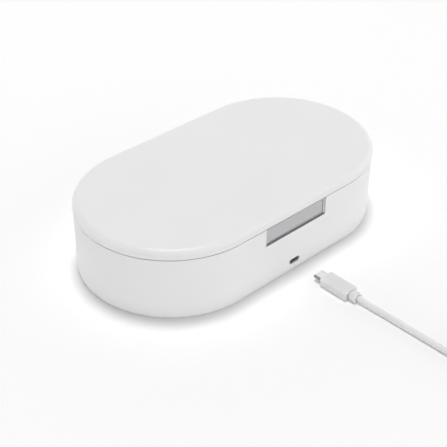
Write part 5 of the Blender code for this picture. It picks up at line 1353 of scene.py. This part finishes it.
def make_floor():
    """A pale sheet. To the rays that show it, it glows a little and fades to white far out."""
    bm = bmesh.new()
    half = FLOOR_SIZE / 2
    corners = ((-half, -half), (half, -half), (half, half), (-half, half))
    bm.faces.new([bm.verts.new((x, y, -FLOOR_DROP)) for x, y in corners])
    floor = to_object("floor", bm)
    paper = Finish("floor_paper", shade(0.98), 0.9, Specular_IOR_Level=0.0)
    paper.vary_roughness(40, 0.86, 0.94)
    seen = seen_rays(paper.tree)
    lift = add_math(paper.tree, "MULTIPLY", seen, FLOOR_GLOW)
    glow = paper.add("Emission", "Emission", {"Strength": lift})
    near = paper.add("AddShader", "Shader", {0: paper.shader.outputs["BSDF"], 1: glow})
    distance = paper.add("VectorMath", "Value", {0: paper.place}, operation="LENGTH")
    ends = {"From Min": FLOOR_FADE_START, "From Max": FLOOR_FADE_END}
    fade = paper.add("MapRange", "Result", {"Value": distance, **ends}, interpolation_type="SMOOTHSTEP")
    share = add_math(paper.tree, "MULTIPLY", fade, seen)
    white = paper.add("Emission", "Emission")
    total = paper.add("MixShader", "Shader", {"Fac": share, 1: near, 2: white})
    paper.tree.links.new(total, paper.tree.nodes["Material Output"].inputs["Surface"])
    floor.data.materials.append(paper.material)


def make_studio():
    """White to the rays that show it. As light, a bright horizon, a calmer top and a few soft glows."""
    world = bpy.data.worlds.new("studio")
    bpy.context.scene.world = world
    world.use_nodes = True
    tree = world.node_tree
    tree.nodes.clear()
    direction = add_node(tree, "TexCoord", "Generated")
    height = add_node(tree, "SeparateXYZ", "Z", {"Vector": direction})
    ends = {"From Max": HORIZON_REACH, "To Min": HORIZON_STRENGTH, "To Max": ZENITH_STRENGTH}
    total = add_node(tree, "MapRange", "Result", {"Value": height, **ends})
    for strength, aim in GLOWS:
        facing = add_node(tree, "VectorMath", "Value", {0: direction, 1: aim}, operation="DOT_PRODUCT")
        focus = add_math(tree, "POWER", add_math(tree, "MAXIMUM", facing, 0.0), GLOW_FOCUS)
        total = add_math(tree, "MULTIPLY_ADD", focus, strength, total)
    dome = add_node(tree, "Background", "Background", {"Color": (*EVEN, 1.0), "Strength": total})
    white = add_node(tree, "Background", "Background", {"Color": (*EVEN, 1.0)})
    mix = add_node(tree, "MixShader", "Shader", {"Fac": seen_rays(tree), 1: dome, 2: white})
    tree.links.new(mix, tree.nodes.new("ShaderNodeOutputWorld").inputs["Surface"])


def look_from(thing, place, back, roll=0.0):
    """Put a lamp or camera in its place, looking the other way from back."""
    thing.location = place
    thing.rotation_mode = "QUATERNION"
    thing.rotation_quaternion = (-back).to_track_quat("-Z", "Y") @ Quaternion(UP, roll)


def make_key():
    lamp = bpy.data.lights.new("key", "AREA")
    lamp.shape = "DISK"
    lamp.size = KEY_SIZE
    lamp.energy = KEY_POWER
    look_from(add_object("key", lamp), KEY_PLACE, KEY_PLACE)


def make_camera():
    data = bpy.data.cameras.new("camera")
    data.lens = FOCAL_PX * data.sensor_width / PICTURE_WIDTH_PX
    level = math.cos(CAMERA_ELEVATION)
    across = math.sin(CAMERA_AZIMUTH) * level
    back = Vector((across, -math.cos(CAMERA_AZIMUTH) * level, math.sin(CAMERA_ELEVATION)))
    camera = add_object("camera", data)
    look_from(camera, CAMERA_TARGET + back * CAMERA_DISTANCE, back, CAMERA_ROLL)
    bpy.context.scene.camera = camera


def dress_nodes():
    """The nodes that stay as packed get the finish of their slot."""
    for entry in frame["record"]["subparts"]:
        node = frame["nodes"][entry["node"]]
        if node.hide_render:
            continue
        finish = FINISHES[entry["material_slot"]].material
        if not node.material_slots:
            node.data.materials.append(finish)
        for slot in node.material_slots:
            slot.material = finish


def main():
    bpy.context.scene.view_settings.view_transform = "Standard"
    make_camera()
    make_finishes()
    cord, exit_point, length = make_cord()
    grip = make_usb_c_plug()
    host_grip = make_usb_a_plug()
    tie = make_tie()
    with_pieces = [grip, "usb_c_shell_smooth", "usb_c_insulator", tie, host_grip, "usb_a_shell_smooth"]
    with_pieces += ["usb_a_blade", "usb_a_contacts"]
    make_floor()
    make_studio()
    make_key()
    make_base_shell()
    make_bottom_cover()
    make_feet()
    make_screws()
    make_chamber_tray()
    make_lid_cover()
    make_lid_liner()
    make_light_seal()
    make_lamp("lower", "base")
    make_lamp("upper", "lid")
    make_lamp_holders()
    make_ribbon()
    make_bezel()
    make_button()
    make_port()
    dress_nodes()


main()
